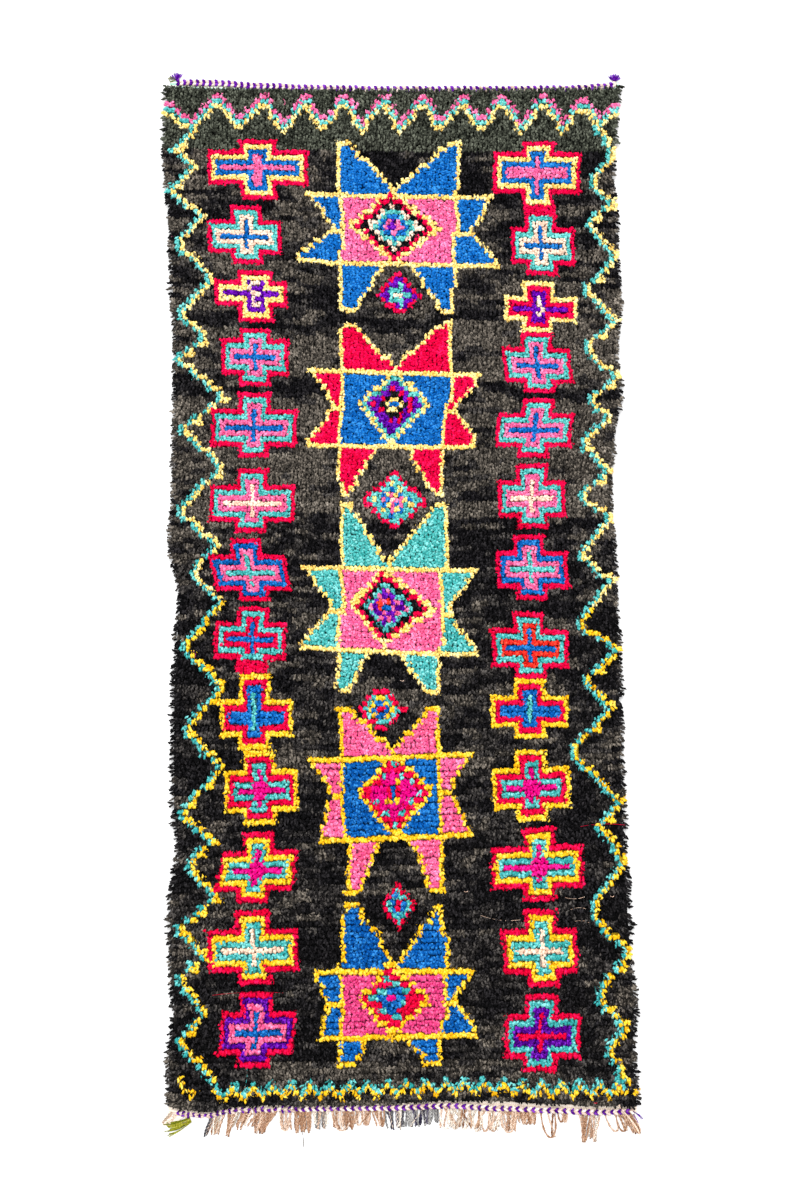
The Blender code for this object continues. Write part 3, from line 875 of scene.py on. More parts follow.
@dataclass(frozen=True)
class NestedDiamond:
    """Diamond of rings around a core that may lie off its middle. Several lots in a ring take turns."""

    core: Place
    sides: Place
    ends: Place
    rings: str

    def weave(self, chart: Chart) -> None:
        """Tie the diamond.

        Args:
            chart: Chart that it goes on.
        """
        rings = read_rings(self.rings)
        for row in range(math.floor(self.ends[0]), math.ceil(self.ends[1])):
            for column in range(math.floor(self.sides[0]), math.ceil(self.sides[1])):
                across, down = column + 0.5 - self.core[0], row + 0.5 - self.core[1]
                half_width = abs(self.sides[across > 0.0] - self.core[0])
                half_height = abs(self.ends[down > 0.0] - self.core[1])
                reach = 1.0 - abs(across) / half_width - abs(down) / half_height
                if reach > -0.04:
                    ring = rings[min(len(rings) - 1, int(max(reach, 0.0) * len(rings)))]
                    chart.knot(column, row, ring[column % len(ring)])


@dataclass(frozen=True)
class CrestZigzag:
    """The head's zigzag: three lines of one knot each, under one another."""

    turns: tuple[Place, ...]
    lots: tuple[Lot, ...]

    def weave(self, chart: Chart) -> None:
        """Tie the lines from the left to the right edge.

        Args:
            chart: Chart that it goes on.
        """
        rows = np.floor(np.interp(np.arange(chart.columns + 1.0), *zip(*self.turns))).astype(int)
        for column, (top, bottom) in enumerate(sorted(pair) for pair in zip(rows, rows[1:])):
            for line, lot in enumerate(self.lots):
                for row in range(top, max(bottom, top + 1)):
                    chart.knot(column, row + line, lot)


@dataclass(frozen=True)
class EdgeZigzag:
    """A side's zigzag: in every row one knot of each of two lots, side by side."""

    turns: tuple[Place, ...]
    lots: tuple[Lot, Lot] = (Lot.TURQUOISE, Lot.STRAW)
    low_lots: tuple[Lot, Lot] = (Lot.TURQUOISE, Lot.GOLD)
    low_row: int = 98

    def weave(self, chart: Chart) -> None:
        """Tie the zigzag down the side.

        Args:
            chart: Chart that it goes on.
        """
        columns, rows = zip(*self.turns)
        for row in range(math.ceil(rows[0]), math.floor(rows[-1]) + 1):
            places = np.clip(np.interp((row + 0.5, row + 1.5), rows, columns) - 1.0, 0.0, chart.columns - 2.0)
            first, following = (round(place) for place in places)
            run = max(abs(following - first), 1)
            first = min(first, following + run - 1 if following < first else first)
            for line, lot in enumerate(self.lots if row < self.low_row else self.low_lots):
                chart.span(row, first + line, first + line + run, lot)


@dataclass(frozen=True)
class TailZigzag:
    """The tail's border: small peaks of one knot, repeated across the rug, with some loose knots beside."""

    columns: tuple[int, int] = (9, 94)
    row: int = 176
    repeat: int = 4
    loose: tuple[tuple[int, int], ...] = ((2, 175), (2, 176), (3, 177), (4, 178), (5, 177), (96, 178))

    def weave(self, chart: Chart) -> None:
        """Tie the border.

        Args:
            chart: Chart that it goes on.
        """
        for column in range(self.columns[0], self.columns[1] + 1):
            step = (column - self.columns[0]) % self.repeat
            row = self.row + min(step, self.repeat - step)
            chart.knot(column, row, Lot.TURQUOISE)
            chart.knot(column, row + 1, Lot.GOLD)
        for column, row in self.loose:
            chart.knot(column, row, Lot.GOLD)


@dataclass
class Ground:
    """The dark ground: streaks of yarn of different lots, laid in along the rows."""

    # First row and the row after the last, columns likewise, and lightness from 0, black, to 1, ash grey
    bands: tuple[tuple[int, int, int, int, float], ...] = (
        (12, 20, 0, 97, 0.42), (13, 21, 36, 62, 0.22), (13, 20, 62, 71, 0.10), (13, 20, 89, 97, 0.12),
        (20, 33, 0, 97, 0.34), (22, 25, 22, 36, 0.62), (28, 30, 24, 36, 0.64), (33, 45, 0, 97, 0.46),
        (33, 45, 24, 38, 0.26), (34, 44, 62, 72, 0.30), (45, 57, 0, 97, 0.60), (44, 47, 0, 62, 0.14),
        (56, 60, 0, 97, 0.20), (60, 83, 0, 97, 0.62), (70, 79, 60, 71, 0.34), (82, 112, 0, 97, 0.30),
        (84, 100, 0, 9, 0.40), (82, 92, 60, 97, 0.16), (100, 104, 24, 38, 0.42), (112, 130, 0, 97, 0.30),
        (113, 116, 0, 97, 0.46), (122, 126, 24, 34, 0.62), (122, 126, 62, 72, 0.62), (130, 165, 0, 97, 0.24),
        (134, 137, 60, 97, 0.38), (148, 150, 8, 36, 0.38), (150, 160, 0, 8, 0.48), (165, 173, 0, 36, 0.10),
        (173, 175, 12, 88, 0.58), (175, 181, 0, 97, 0.34),
    )
    # Lightness from which each lot is used
    limits: tuple[tuple[float, Lot], ...] = (
        (-9.0, Lot.BLACK), (0.30, Lot.SLATE), (0.44, Lot.BARK), (0.86, Lot.ASH))
    even: float = 0.34
    bottle_rows: int = 12
    streak: float = 0.21
    calm_row: int = 113
    calm: Place = (0.4, 0.36)

    def weave(self, chart: Chart, chance: np.random.Generator) -> None:
        """Fill the whole chart with ground, before any motif.

        Args:
            chart: Chart that it goes on.
            chance: Source of the streaks.
        """
        light = np.full(chart.lots.shape, self.even)
        for first_row, last_row, first_column, last_column, lightness in self.bands:
            light[first_row:last_row, first_column:last_column] = lightness
        light = self.spread(light, 0.8, 2.0)
        fine = self.spread(chance.standard_normal(light.shape), 0.3, 1.6)
        broad = self.spread(chance.standard_normal(light.shape), 0.8, 3.6)
        light += self.streak * (0.75 * fine / fine.std() + 0.42 * broad / broad.std())
        light[self.calm_row:] += self.calm[0] * (self.calm[1] - light[self.calm_row:])
        for limit, lot in self.limits:
            chart.lots[light > limit] = int(lot)
        chart.lots[:self.bottle_rows] = int(Lot.BOTTLE_GREEN)

    @staticmethod
    def spread(values: np.ndarray, along: float, across: float) -> np.ndarray:
        """Smooth a chart of numbers.

        Args:
            values: The numbers, by row and column.
            along: How far to smooth over the rows.
            across: How far to smooth over the columns.

        Returns:
            The smoothed numbers.
        """
        for axis, reach in ((0, along), (1, across)):
            steps = np.arange(-math.ceil(3 * reach), math.ceil(3 * reach) + 1)
            weights = np.exp(-0.5 * (steps / reach) ** 2)
            padding = [(0, 0), (0, 0)]
            padding[axis] = (len(steps) // 2, len(steps) // 2)
            padded = np.pad(values, padding, mode="edge")
            values = np.apply_along_axis(np.convolve, axis, padded, weights / weights.sum(), "valid")
        return values


STARS = (
    Star((10, 10), 20, 27, 33, 43, ((36.6, 37.6), (37.6, 36.4), (36.0, 36.0)),
         ((64.0, 63.4), (63.3, 61.6), (61.6, 61.4)),
         (39.4, 61.9), 49.2, (46.7, 51.5), (39.1, 59.0), (30.4, 71.2), (35.4, 65.2), (27.0, 70.6),
         Lot.BLUE, Lot.PINK, Lot.STRAW),
    Star((45, 44), 54, 61, 68, 78, ((36.7, 35.7), (35.6, 36.3), (36.3, 36.6)),
         ((61.2, 60.8), (60.7, 60.2), (60.2, 60.4)),
         (38.7, 59.7), 48.4, (45.3, 51.0), (38.6, 58.5), (29.3, 67.2), (35.0, 61.3), (29.4, 67.5),
         Lot.SCARLET, Lot.BLUE, Lot.STRAW),
    Star((79, 79), 91, 99, 106, 114, ((36.7, 36.6), (36.3, 35.1), (35.2, 35.6)),
         ((61.0, 60.8), (59.4, 58.4), (57.9, 57.6)),
         (39.0, 59.5), 47.5, (42.6, 48.5), (37.9, 55.4), (28.1, 67.2), (34.0, 59.6), (27.1, 66.3),
         Lot.TURQUOISE, Lot.PINK, Lot.STRAW),
    Star((116, 116), 124, 130, 137, 147, ((35.5, 35.6), (36.4, 36.4), (36.6, 37.4)),
         ((57.9, 58.0), (58.3, 58.0), (57.8, 58.0)),
         (37.5, 56.0), 47.7, (44.8, 49.8), (39.9, 55.6), (29.4, 64.9), (34.1, 59.8), (30.8, 64.0),
         Lot.PINK, Lot.BLUE, Lot.GOLD),
    Star((148, 149), 159, 164, 169, 174, ((36.8, 35.5), (35.2, 34.7), (34.9, 35.6)),
         ((58.4, 58.6), (58.5, 57.2), (56.8, 56.8)),
         (38.9, 56.9), 47.3, (42.0, 48.7), (38.3, 54.2), (29.6, 64.2), (32.7, 58.9), (30.7, 64.0),
         Lot.BLUE, Lot.ROSE, Lot.GOLD),
)

DIAMONDS = (
    NestedDiamond((48.4, 26.3), (38.8, 59.0), (19.2, 33.6),
                  "straw scarlet black cream turquoise blue pink violet"),
    NestedDiamond((48.1, 60.4), (39.8, 56.2), (54.0, 68.4),
                  "straw turquoise violet violet/scarlet black straw blue"),
    NestedDiamond((45.4, 98.4), (37.8, 57.0), (91.0, 105.4),
                  "straw scarlet black turquoise pink/violet violet ember/pink blue"),
    NestedDiamond((47.6, 130.2), (39.6, 56.2), (123.6, 137.4),
                  "gold scarlet scarlet/turquoise magenta magenta gold/magenta scarlet/blue blue"),
    NestedDiamond((46.0, 163.8), (39.0, 54.2), (158.2, 169.4),
                  "gold scarlet scarlet/turquoise turquoise/scarlet blue blue magenta"),
    NestedDiamond((49.2, 39.6), (44.0, 54.2), (34.8, 43.4),
                  "scarlet violet violet/turquoise turquoise cream"),
    NestedDiamond((48.9, 78.8), (41.8, 56.2), (73.0, 84.2),
                  "scarlet turquoise straw/turquoise blue/turquoise pink/straw pink/blue cream/pink"),
    NestedDiamond((45.0, 116.5), (39.9, 50.4), (112.3, 120.4), "scarlet turquoise gold blue scarlet"),
    NestedDiamond((48.1, 149.0), (44.2, 52.5), (145.2, 152.9), "scarlet turquoise blue scarlet"),
)

CREAM_SQUIGGLE = tuple(
    (across, down, Lot.CREAM)
    for across, down in ((0, -2), (1, -2), (-1, -1), (0, 0), (1, 0), (0, 1), (0, 2), (1, 2))
)
CREAM_FLECKS = ((0, -2, Lot.CREAM), (0, -1, Lot.CREAM), (1, 0, Lot.CREAM), (0, 1, Lot.CREAM))
MAGENTA_HEART = tuple((across, down, Lot.MAGENTA) for across in (-1, 0, 1) for down in (-1, 0, 1))
RED_FOOT = tuple(
    (across, down, lot) for down, lot in ((4, Lot.SCARLET), (3, Lot.TURQUOISE)) for across in range(-2, 3))

CROSSES = (
    SteppedCross(19, 16, 9, 30, "scarlet straw blue pink", 6, 5, (4, 2), (3, 4)),
    SteppedCross(16, 29, 8, 23, "scarlet turquoise cream blue"),
    SteppedCross(17, 40, 9, 24, "scarlet straw violet", 4, 5, (2, 2), (3, 4), CREAM_SQUIGGLE),
    SteppedCross(17, 52, 10, 24, "scarlet turquoise pink blue", 5),
    SteppedCross(17, 65, 8, 26, "scarlet turquoise pink blue"),
    SteppedCross(17, 79, 8, 26, "scarlet turquoise pink cream"),
    SteppedCross(16, 92, 8, 24, "scarlet blue pink turquoise"),
    SteppedCross(16, 105, 8, 23, "scarlet turquoise scarlet blue", flecks=RED_FOOT),
    SteppedCross(17, 117, 10, 25, "gold scarlet blue turquoise", 6, 5, (2, 3)),
    SteppedCross(18, 129, 11, 26, "gold scarlet turquoise magenta", flecks=MAGENTA_HEART),
    SteppedCross(17, 142, 9, 25, "scarlet gold turquoise magenta", flecks=MAGENTA_HEART),
    SteppedCross(17, 155, 8, 26, "scarlet gold turquoise cream"),
    SteppedCross(17, 168, 10, 25, "scarlet violet pink blue"),
    SteppedCross(80, 16, 71, 89, "scarlet straw blue pink", 6, 6, (4, 3)),
    SteppedCross(80, 29, 74, 87, "scarlet turquoise cream blue"),
    SteppedCross(79, 41, 72, 87, "straw scarlet violet", 5, 4, (2, 2), flecks=CREAM_FLECKS),
    SteppedCross(79, 52, 72, 86, "scarlet turquoise pink blue"),
    SteppedCross(79, 65, 71, 87, "scarlet turquoise pink blue"),
    SteppedCross(79, 78, 72, 86, "scarlet turquoise pink cream"),
    SteppedCross(78, 91, 71, 86, "scarlet blue pink turquoise"),
    SteppedCross(77, 105, 69, 85, "scarlet turquoise ember blue"),
    SteppedCross(77, 116, 69, 85, "gold scarlet blue turquoise", 5, 5, (2, 3)),
    SteppedCross(77, 130, 69, 85, "gold scarlet turquoise magenta", flecks=MAGENTA_HEART),
    SteppedCross(78, 143, 68, 87, "scarlet gold turquoise magenta", flecks=MAGENTA_HEART),
    SteppedCross(78, 156, 70, 85, "scarlet gold turquoise cream"),
    SteppedCross(77, 169, 70, 85, "scarlet turquoise violet scarlet"),
)

CREST = CrestZigzag(
    (
        (-0.3, 2.8), (5.8, 7.0), (10.9, 1.4), (15.9, 7.0), (20.6, 1.4), (25.5, 7.0), (29.9, 1.4),
        (33.7, 7.0), (38.1, 1.4), (42.3, 7.0), (46.9, 1.4), (50.3, 7.0), (55.4, 1.4), (59.2, 7.0),
        (63.6, 1.4), (68.3, 7.0), (72.0, 1.4), (76.7, 7.0), (81.1, 1.4), (85.8, 7.0), (89.3, 2.0),
        (93.0, 5.8), (98.0, 2.3),
    ),
    (Lot.PINK, Lot.TURQUOISE, Lot.STRAW),
)
LEFT_ZIGZAG = EdgeZigzag((
    (7.5, 8.0), (2.4, 12.5), (6.8, 15.9), (1.0, 20.9), (7.5, 26.0), (1.6, 32.2), (9.4, 38.2), (2.0, 45.5),
    (7.4, 49.8), (1.0, 53.5), (11.0, 60.4), (2.1, 66.4), (11.1, 73.2), (1.7, 81.3), (10.5, 87.9), (4.0, 93.5),
    (9.5, 98.9), (1.9, 108.0), (11.1, 113.6), (2.8, 120.2), (10.9, 126.0), (1.8, 133.0), (7.8, 137.7),
    (1.9, 141.0), (10.0, 147.4), (2.0, 152.4), (7.7, 156.4), (2.0, 160.5), (7.1, 165.9), (1.9, 169.7),
    (8.6, 175.0),
))
RIGHT_ZIGZAG = EdgeZigzag((
    (93.1, 7.0), (97.0, 12.8), (92.5, 18.3), (97.0, 21.9), (90.7, 25.7), (97.0, 31.7), (89.6, 38.0),
    (97.0, 43.7), (90.2, 49.2), (97.0, 54.5), (90.7, 59.9), (96.4, 63.6), (90.8, 69.0), (96.8, 74.0),
    (90.6, 78.6), (97.0, 82.3), (90.2, 89.3), (96.4, 94.2), (88.5, 101.7), (97.0, 105.5), (89.9, 111.9),
    (96.0, 116.7), (86.5, 124.8), (96.5, 133.9), (92.0, 137.8), (97.0, 143.2), (89.0, 151.1), (97.0, 157.4),
    (89.3, 164.1), (96.2, 168.7), (92.1, 171.9), (94.5, 176.0),
))


# The pile


@dataclass(frozen=True)
class TuftShape:
    """One modelled yarn end: its cut top's size, turn and tilt, and how far that stands from its root."""

    radius: float
    narrow: float
    spin: float
    tilt: float
    lean: float
    aside: float
    forward: float
    rise: float

    def model(self, sides: int) -> Pattern:
        """Model the yarn end: a cut top, squeezed, turned and tilted, drawn down to its root.

        Args:
            sides: Number of sides.

        Returns:
            The yarn end, ready to be copied.
        """
        top = Vector((self.aside, -self.forward, self.rise))
        item = Workshop.disc(sides, self.radius, top)
        bpy.ops.transform.resize(value=(1.0, self.narrow, 1.0), center_override=top)
        for angle, axis in ((self.spin, "Z"), (self.tilt, "X"), (self.lean, "Y")):
            bpy.ops.transform.rotate(value=-math.radians(angle), orient_axis=axis, center_override=top)
        bpy.ops.mesh.extrude_region_move(TRANSFORM_OT_translate={"value": -top})
        bpy.ops.mesh.merge(type="COLLAPSE")
        return Workshop.read(item, sides, from_tip=True)


TUFT_SHAPES = (
    TuftShape(0.0054, 0.92, 0.0, 6.0, 4.0, 0.0000, 0.0060, 0.0170),
    TuftShape(0.0052, 0.84, 31.0, 12.0, -6.0, 0.0008, 0.0054, 0.0168),
    TuftShape(0.0056, 0.80, 58.0, -2.0, 9.0, -0.0008, 0.0064, 0.0172),
    TuftShape(0.0051, 0.96, 84.0, 15.0, 2.0, 0.0005, 0.0050, 0.0166),
    TuftShape(0.0055, 0.78, 112.0, 8.0, -10.0, -0.0004, 0.0058, 0.0170),
    TuftShape(0.0053, 0.88, 140.0, -5.0, -3.0, 0.0002, 0.0068, 0.0168),
    TuftShape(0.0050, 1.00, 163.0, 10.0, 12.0, 0.0006, 0.0062, 0.0172),
)


@dataclass
class KnottedPile:
    """The pile: six yarn ends for each knot of the chart, leaning down the rug."""

    layout: RugLayout
    chart: Chart
    # Where the ends of a knot stand, in shares of its width and its depth
    ends: tuple[Place, ...] = (
        (-0.26, 0.34), (0.24, 0.31), (-0.23, 0.01), (0.27, -0.02), (-0.26, -0.32), (0.25, -0.35)
    )
    sides: int = 4
    root_height: float = 0.0022
    pile_height: float = 0.0202
    # The pile is neat down to this row and grows loose over the rows that follow
    upright_until: int = 80
    lean_rows: int = 60
    row_gather: float = 0.34
    row_saw: float = 0.0040
    line_gather: Place = (0.40, 0.30)
    # Borders of the field, where the lines are thin: rows at both ends and columns at both sides
    border_rows: tuple[int, int] = (9, 173)
    border_columns: tuple[int, int] = (12, 86)
    edge_columns: float = 2.2
    edge_splay: float = 26.0
    root_wander: float = 0.0011
    # Swells of the surface: height, length across and along, and seed
    swells: tuple[tuple[float, float, float, float], ...] = (
        (0.0040, 0.105, 0.085, 3.1), (0.0026, 0.0457, 0.0274, 8.7)
    )
    # Waves in how the ends turn, stand aside and lie: waves in a metre across and along, and seed
    waves: tuple[Spot, ...] = ((9.0, 14.0, 5.3), (30.0, 90.0, 2.7), (34.0, 70.0, 9.1))
    # Measures of the neat pile, each with what it gains where the pile is loose
    sway: Place = (0.12, 0.30)
    unrest: Place = (0.7, 0.8)
    reach: Place = (0.86, 0.26)
    lone_reach: Place = (0.22, 0.10)
    roughness: Place = (1.0, 0.6)
    waviness: Place = (0.3, 0.7)
    # How far knots stand out of line, in columns and in rows
    jitter: Place = (0.07, 0.05)
    # Unevenness of single ends and of whole knots: turn in degrees, in the crest too, reach and shade
    turn_spread: Place = (15.0, 8.0)
    crest_spread: Place = (18.0, 14.0)
    reach_spread: Place = (0.10, 0.06)
    tone_spread: Place = (0.15, 0.11)
    line_spread: float = 12.0
    width_spread: float = 0.10
    height_spread: float = 0.0009
    # Turn in degrees, for the drift of the pile and for each knot's width
    drift_turn: float = 24.0
    fan_turn: float = 30.0
    # Some ends at the edge reach further out: by how much, and which share of them
    edge_reach: Place = (0.10, 0.45)
    edge_calm: float = 0.90
    # The dark ground's ends lie longer and narrower, and lines are narrower than fields
    ground_slim: float = 0.26
    line_slim: float = 0.17
    border_slim: float = 0.08
    lone_gather: float = 0.12
    # How far an end's root lies up the rug, and how far the waves move it
    root_back: float = 0.0058
    root_wave: float = 0.0042

    def build(self, chance: np.random.Generator) -> None:
        """Place every end and make one piece for each dye lot.

        Args:
            chance: Source of the pile's unevenness.
        """
        layout, per_knot = self.layout, len(self.ends)
        patterns = [shape.model(self.sides) for shape in TUFT_SHAPES]
        grid = np.mgrid[0:layout.rows, 0:layout.columns]
        row, column = (np.repeat(part.ravel(), per_knot) for part in grid)
        lot = np.repeat(self.chart.lots.ravel(), per_knot)
        count = len(lot)

        def spread(amount: float, shared: int = 1) -> np.ndarray:
            """Draw random amounts, each of them shared by some ends that follow one another."""
            return amount * np.repeat(chance.standard_normal(count // shared), shared)

        def uneven(amounts: Place) -> np.ndarray:
            """Draw random amounts for single ends and for whole knots, and add them up."""
            return spread(amounts[0]) + spread(amounts[1], per_knot)

        def grown(measure: Place) -> np.ndarray:
            """Give a measure at every end, from the neat pile to the loose."""
            return measure[0] + measure[1] * loose

        def waves(across: np.ndarray, along: np.ndarray, seed: float) -> np.ndarray:
            """Read smooth noise for each knot, shared by its ends."""
            spots = zip(across[::per_knot], along[::per_knot])
            return np.repeat([noise.noise(Vector((*spot, seed))) for spot in spots], per_knot)

        offset = np.tile(self.ends, (layout.rows * layout.columns, 1))
        loose = np.clip((row - self.upright_until) / self.lean_rows, 0.0, 1.0)
        x, y = layout.place(column + 0.5, row + 0.5)
        bright = (lot >= Lot.SCARLET).astype(float)
        upright, level, lone = (bright * np.repeat(part.ravel(), per_knot) for part in self.lines())
        offset = offset * (1.0 - np.stack((upright, level), axis=1) * self.line_gather)
        offset *= (1.0 - self.lone_gather * lone)[:, None]
        swell = sum(high * waves(x / wide, y / long, seed) for high, wide, long, seed in self.swells)
        drift, sway, wave = (waves(x * wide, y * long, seed) for wide, long, seed in self.waves)
        ragged = np.clip(0.75 + 1.6 * drift, 0.2, 1.3) * loose
        gather = 1.0 - self.row_gather * ragged
        across = column + 0.5 + offset[:, 0] + grown(self.sway) * sway + spread(self.jitter[0], per_knot)
        down = row + 0.5 - offset[:, 1] * gather + spread(self.jitter[1], per_knot)
        end_x, end_y = layout.place(across, down)
        crest = (row < self.border_rows[0]) * bright
        at_border = (row < self.border_rows[0]) | (row > self.border_rows[1])
        at_border |= (column < self.border_columns[0]) | (column > self.border_columns[1])
        thin_line = bright * at_border
        yaw = grown(self.unrest) * uneven(self.turn_spread)
        yaw = yaw + self.drift_turn * drift + self.fan_turn * offset[:, 0]
        yaw += thin_line * spread(self.line_spread) + crest * uneven(self.crest_spread)
        outwards = np.clip(self.edge_columns - column, 0.0, self.edge_columns)
        outwards -= np.clip(column + 1 - layout.columns + self.edge_columns, 0.0, self.edge_columns)
        yaw -= outwards * self.edge_splay
        at_edge = (column < 1) | (column > layout.columns - 2)
        reach = grown(self.reach) + spread(self.reach_spread[0]) + spread(self.reach_spread[1], per_knot)
        reach += self.border_slim * thin_line
        reach += at_edge * (self.edge_reach[0] + self.edge_reach[1] * (chance.random(count) > self.edge_calm))
        reach += self.ground_slim * (1.0 - bright) + grown(self.lone_reach) * lone
        width = 1.0 + spread(self.width_spread) - self.ground_slim * (1.0 - bright)
        width = width - self.line_slim * np.maximum(upright, lone) - self.border_slim * thin_line
        height = self.pile_height + swell + grown(self.roughness) * spread(self.height_spread)
        height -= self.row_saw * ragged * offset[:, 1]
        root_x = end_x + spread(self.root_wander)
        root_y = end_y + self.root_back * reach + self.root_wave * wave * grown(self.waviness)
        root_y = root_y + spread(self.root_wander)
        tone = 0.5 + (1.3 - 0.1 * bright) * spread(self.tone_spread[0])
        tone = np.clip(tone + spread(self.tone_spread[1], per_knot), 0.0, 1.0)
        shape = chance.integers(0, len(patterns), count)
        turn = np.radians(yaw)
        for which, finish in PILE_FINISHES.items():
            copies = Copies(finish.name)
            for number, pattern in enumerate(patterns):
                chosen = np.nonzero((lot == int(which)) & (shape == number))[0]
                tall = (height[chosen] - self.root_height) / pattern.points[:, 2].max()
                local = pattern.points[None] * np.stack((width[chosen], reach[chosen], tall), axis=1)[:, None]
                points = (local[:, :, 0], local[:, :, 1], self.root_height + local[:, :, 2])
                copies.lay(pattern, (root_x[chosen], root_y[chosen]), turn[chosen], points, tone[chosen])
            copies.finish(finish, "pile_yarn", "pile_field")

    def lines(self) -> tuple[np.ndarray, np.ndarray, np.ndarray]:
        """Find the knots of thin lines.

        Returns:
            Which knots are in an upright line, in a level one, and alone or in a slanting one, as 0 or 1.
        """
        lots = self.chart.lots
        above, below = (np.roll(lots, step, axis=0) == lots for step in (1, -1))
        before, after = (np.roll(lots, step, axis=1) == lots for step in (1, -1))
        upright = ~before & ~after & (above | below)
        level = ~above & ~below & (before | after)
        lone = ~before & ~after & ~above & ~below
        return upright.astype(float), level.astype(float), lone.astype(float)


# The woven cloth


@dataclass
class Cloth:
    """A thin closed cloth, made from a grid that is given its thickness. Across and along count its faces."""

    name: str
    across: int
    along: int
    thickness: float

    def shape(
        self, place: Callable[[np.ndarray, np.ndarray], tuple[np.ndarray, np.ndarray]],
        relief: Callable[[np.ndarray, np.ndarray], np.ndarray] = lambda end, pick: 0.0 * end,
    ) -> None:
        """Make the grid and move its points to their places.

        Args:
            place: Gives x and y for the share across and the share down.
            relief: Gives what the upper side rises by, for the grid's counts across and down.
        """
        Workshop.clear_selection()
        bpy.ops.mesh.primitive_grid_add(x_subdivisions=self.across, y_subdivisions=self.along, size=1.0)
        self.piece = bpy.context.object
        self.piece.name = self.name
        solid = self.piece.modifiers.new("thickness", "SOLIDIFY")
        solid.thickness = self.thickness
        solid.offset = 1.0
        bpy.ops.object.modifier_apply(modifier="thickness")
        mesh = self.piece.data
        points = np.empty(len(mesh.vertices) * 3)
        mesh.vertices.foreach_get("co", points)
        points = points.reshape(-1, 3)
        across, down = points[:, 0] + 0.5, 0.5 - points[:, 1]
        upper = points[:, 2] > 0.5 * self.thickness
        x, y = place(across, down)
        risen = relief(np.rint(across * self.across), np.rint(down * self.along))
        height = self.thickness * upper + upper * risen
        mesh.vertices.foreach_set("co", np.stack((x, y, height), axis=1).astype(np.float32).ravel())
        mesh.update()
        self.shares = np.stack((across, down), axis=1)

    def dye(self, colours: Callable[[np.ndarray, np.ndarray, np.ndarray], np.ndarray]) -> None:
        """Colour the faces and give the cloth its two maps.

        Args:
            colours: Gives colours by the share across and down of each face, and by whether it looks up.
        """
        mesh = self.piece.data
        corners = np.empty(len(mesh.loops), dtype=np.int32)
        mesh.loops.foreach_get("vertex_index", corners)
        totals = np.array([face.loop_total for face in mesh.polygons])
        normals = np.empty(len(mesh.polygons) * 3)
        mesh.polygons.foreach_get("normal", normals)
        looks_up = normals.reshape(-1, 3)[:, 2] > -0.5
        owner = np.repeat(np.arange(len(mesh.polygons)), totals)
        shares = self.shares[corners]
        middles = (np.bincount(owner, share) / totals for share in shares.T)
        shades = colours(*middles, looks_up)[owner]
        dyed = mesh.color_attributes.new("dyed", "FLOAT_COLOR", "CORNER")
        dyed.data.foreach_set("color", shades.astype(np.float32).ravel())
        for layer in list(mesh.uv_layers):
            mesh.uv_layers.remove(layer)
        side = np.where(looks_up[owner], 0.01, 0.51)
        patch = np.stack((side + 0.48 * shares[:, 0], 0.01 + 0.98 * shares[:, 1]), axis=1)
        for label, places in (("weave", shares * (self.across, self.along)), ("OFBake", patch)):
            mesh.uv_layers.new(name=label).uv.foreach_set("vector", places.astype(np.float32).ravel())
        mesh.polygons.foreach_set("use_smooth", np.ones(len(mesh.polygons), dtype=bool))

    def finish(self, finish: ClothFinish, slot: str, width: float, length: float) -> None:
        """Args:
            finish: Its finish.
            slot: Material slot of the record.
            width: Its flat width, not used.
            length: Its flat length, not used.
        """
        self.piece.data.materials.clear()
        self.piece.data.materials.append(finish.material())
        settle(self.piece, slot)


@dataclass
class GroundWeave:
    """The woven ground under the pile, with the backs of the knots on its underside."""

    layout: RugLayout
    chart: Chart
    thickness: float = 0.0024
    # How much darker the covered upper side is painted, as shade under the pile
    painted_pile_shade: float = 0.8
    # The last value, 0.35, is the painted shade in the weave's hollows
    finish: ClothFinish = ClothFinish("knotted_ground", 2.0, 1.0, 0.0008, 0.35)

    def build(self) -> None:
        """Weave the ground, one face for each knot."""
        layout = self.layout
        cloth = Cloth("ground_weave", layout.columns, layout.rows, self.thickness)
        cloth.shape(lambda u, v: layout.place(u * layout.columns, v * layout.rows))
        cloth.dye(self.colours)
        rows = np.arange(layout.rows + 1)
        left, _ = layout.place(np.zeros(layout.rows + 1), rows)
        right, y = layout.place(np.full(layout.rows + 1, layout.columns), rows)
        cloth.finish(self.finish, "pile_yarn", float(np.mean(right - left)), float(y[0] - y[-1]))

    def colours(self, across: np.ndarray, down: np.ndarray, looks_up: np.ndarray) -> np.ndarray:
        """Colour the backs of the knots, and the side that the pile covers a little darker, as painted shade
        under the pile.

        Args:
            across: Share across of every face.
            down: Share down of every face.
            looks_up: Whether it looks up.

        Returns:
            The colours.
        """
        column = np.clip((across * self.layout.columns).astype(int), 0, self.layout.columns - 1)
        row = np.clip((down * self.layout.rows).astype(int), 0, self.layout.rows - 1)
        shades = np.array([PILE_FINISHES[lot].base for lot in Lot])[self.chart.lots[row, column]]
        # Painted shade on the upper side, under the pile
        shades[looks_up, :3] *= self.painted_pile_shade
        return shades


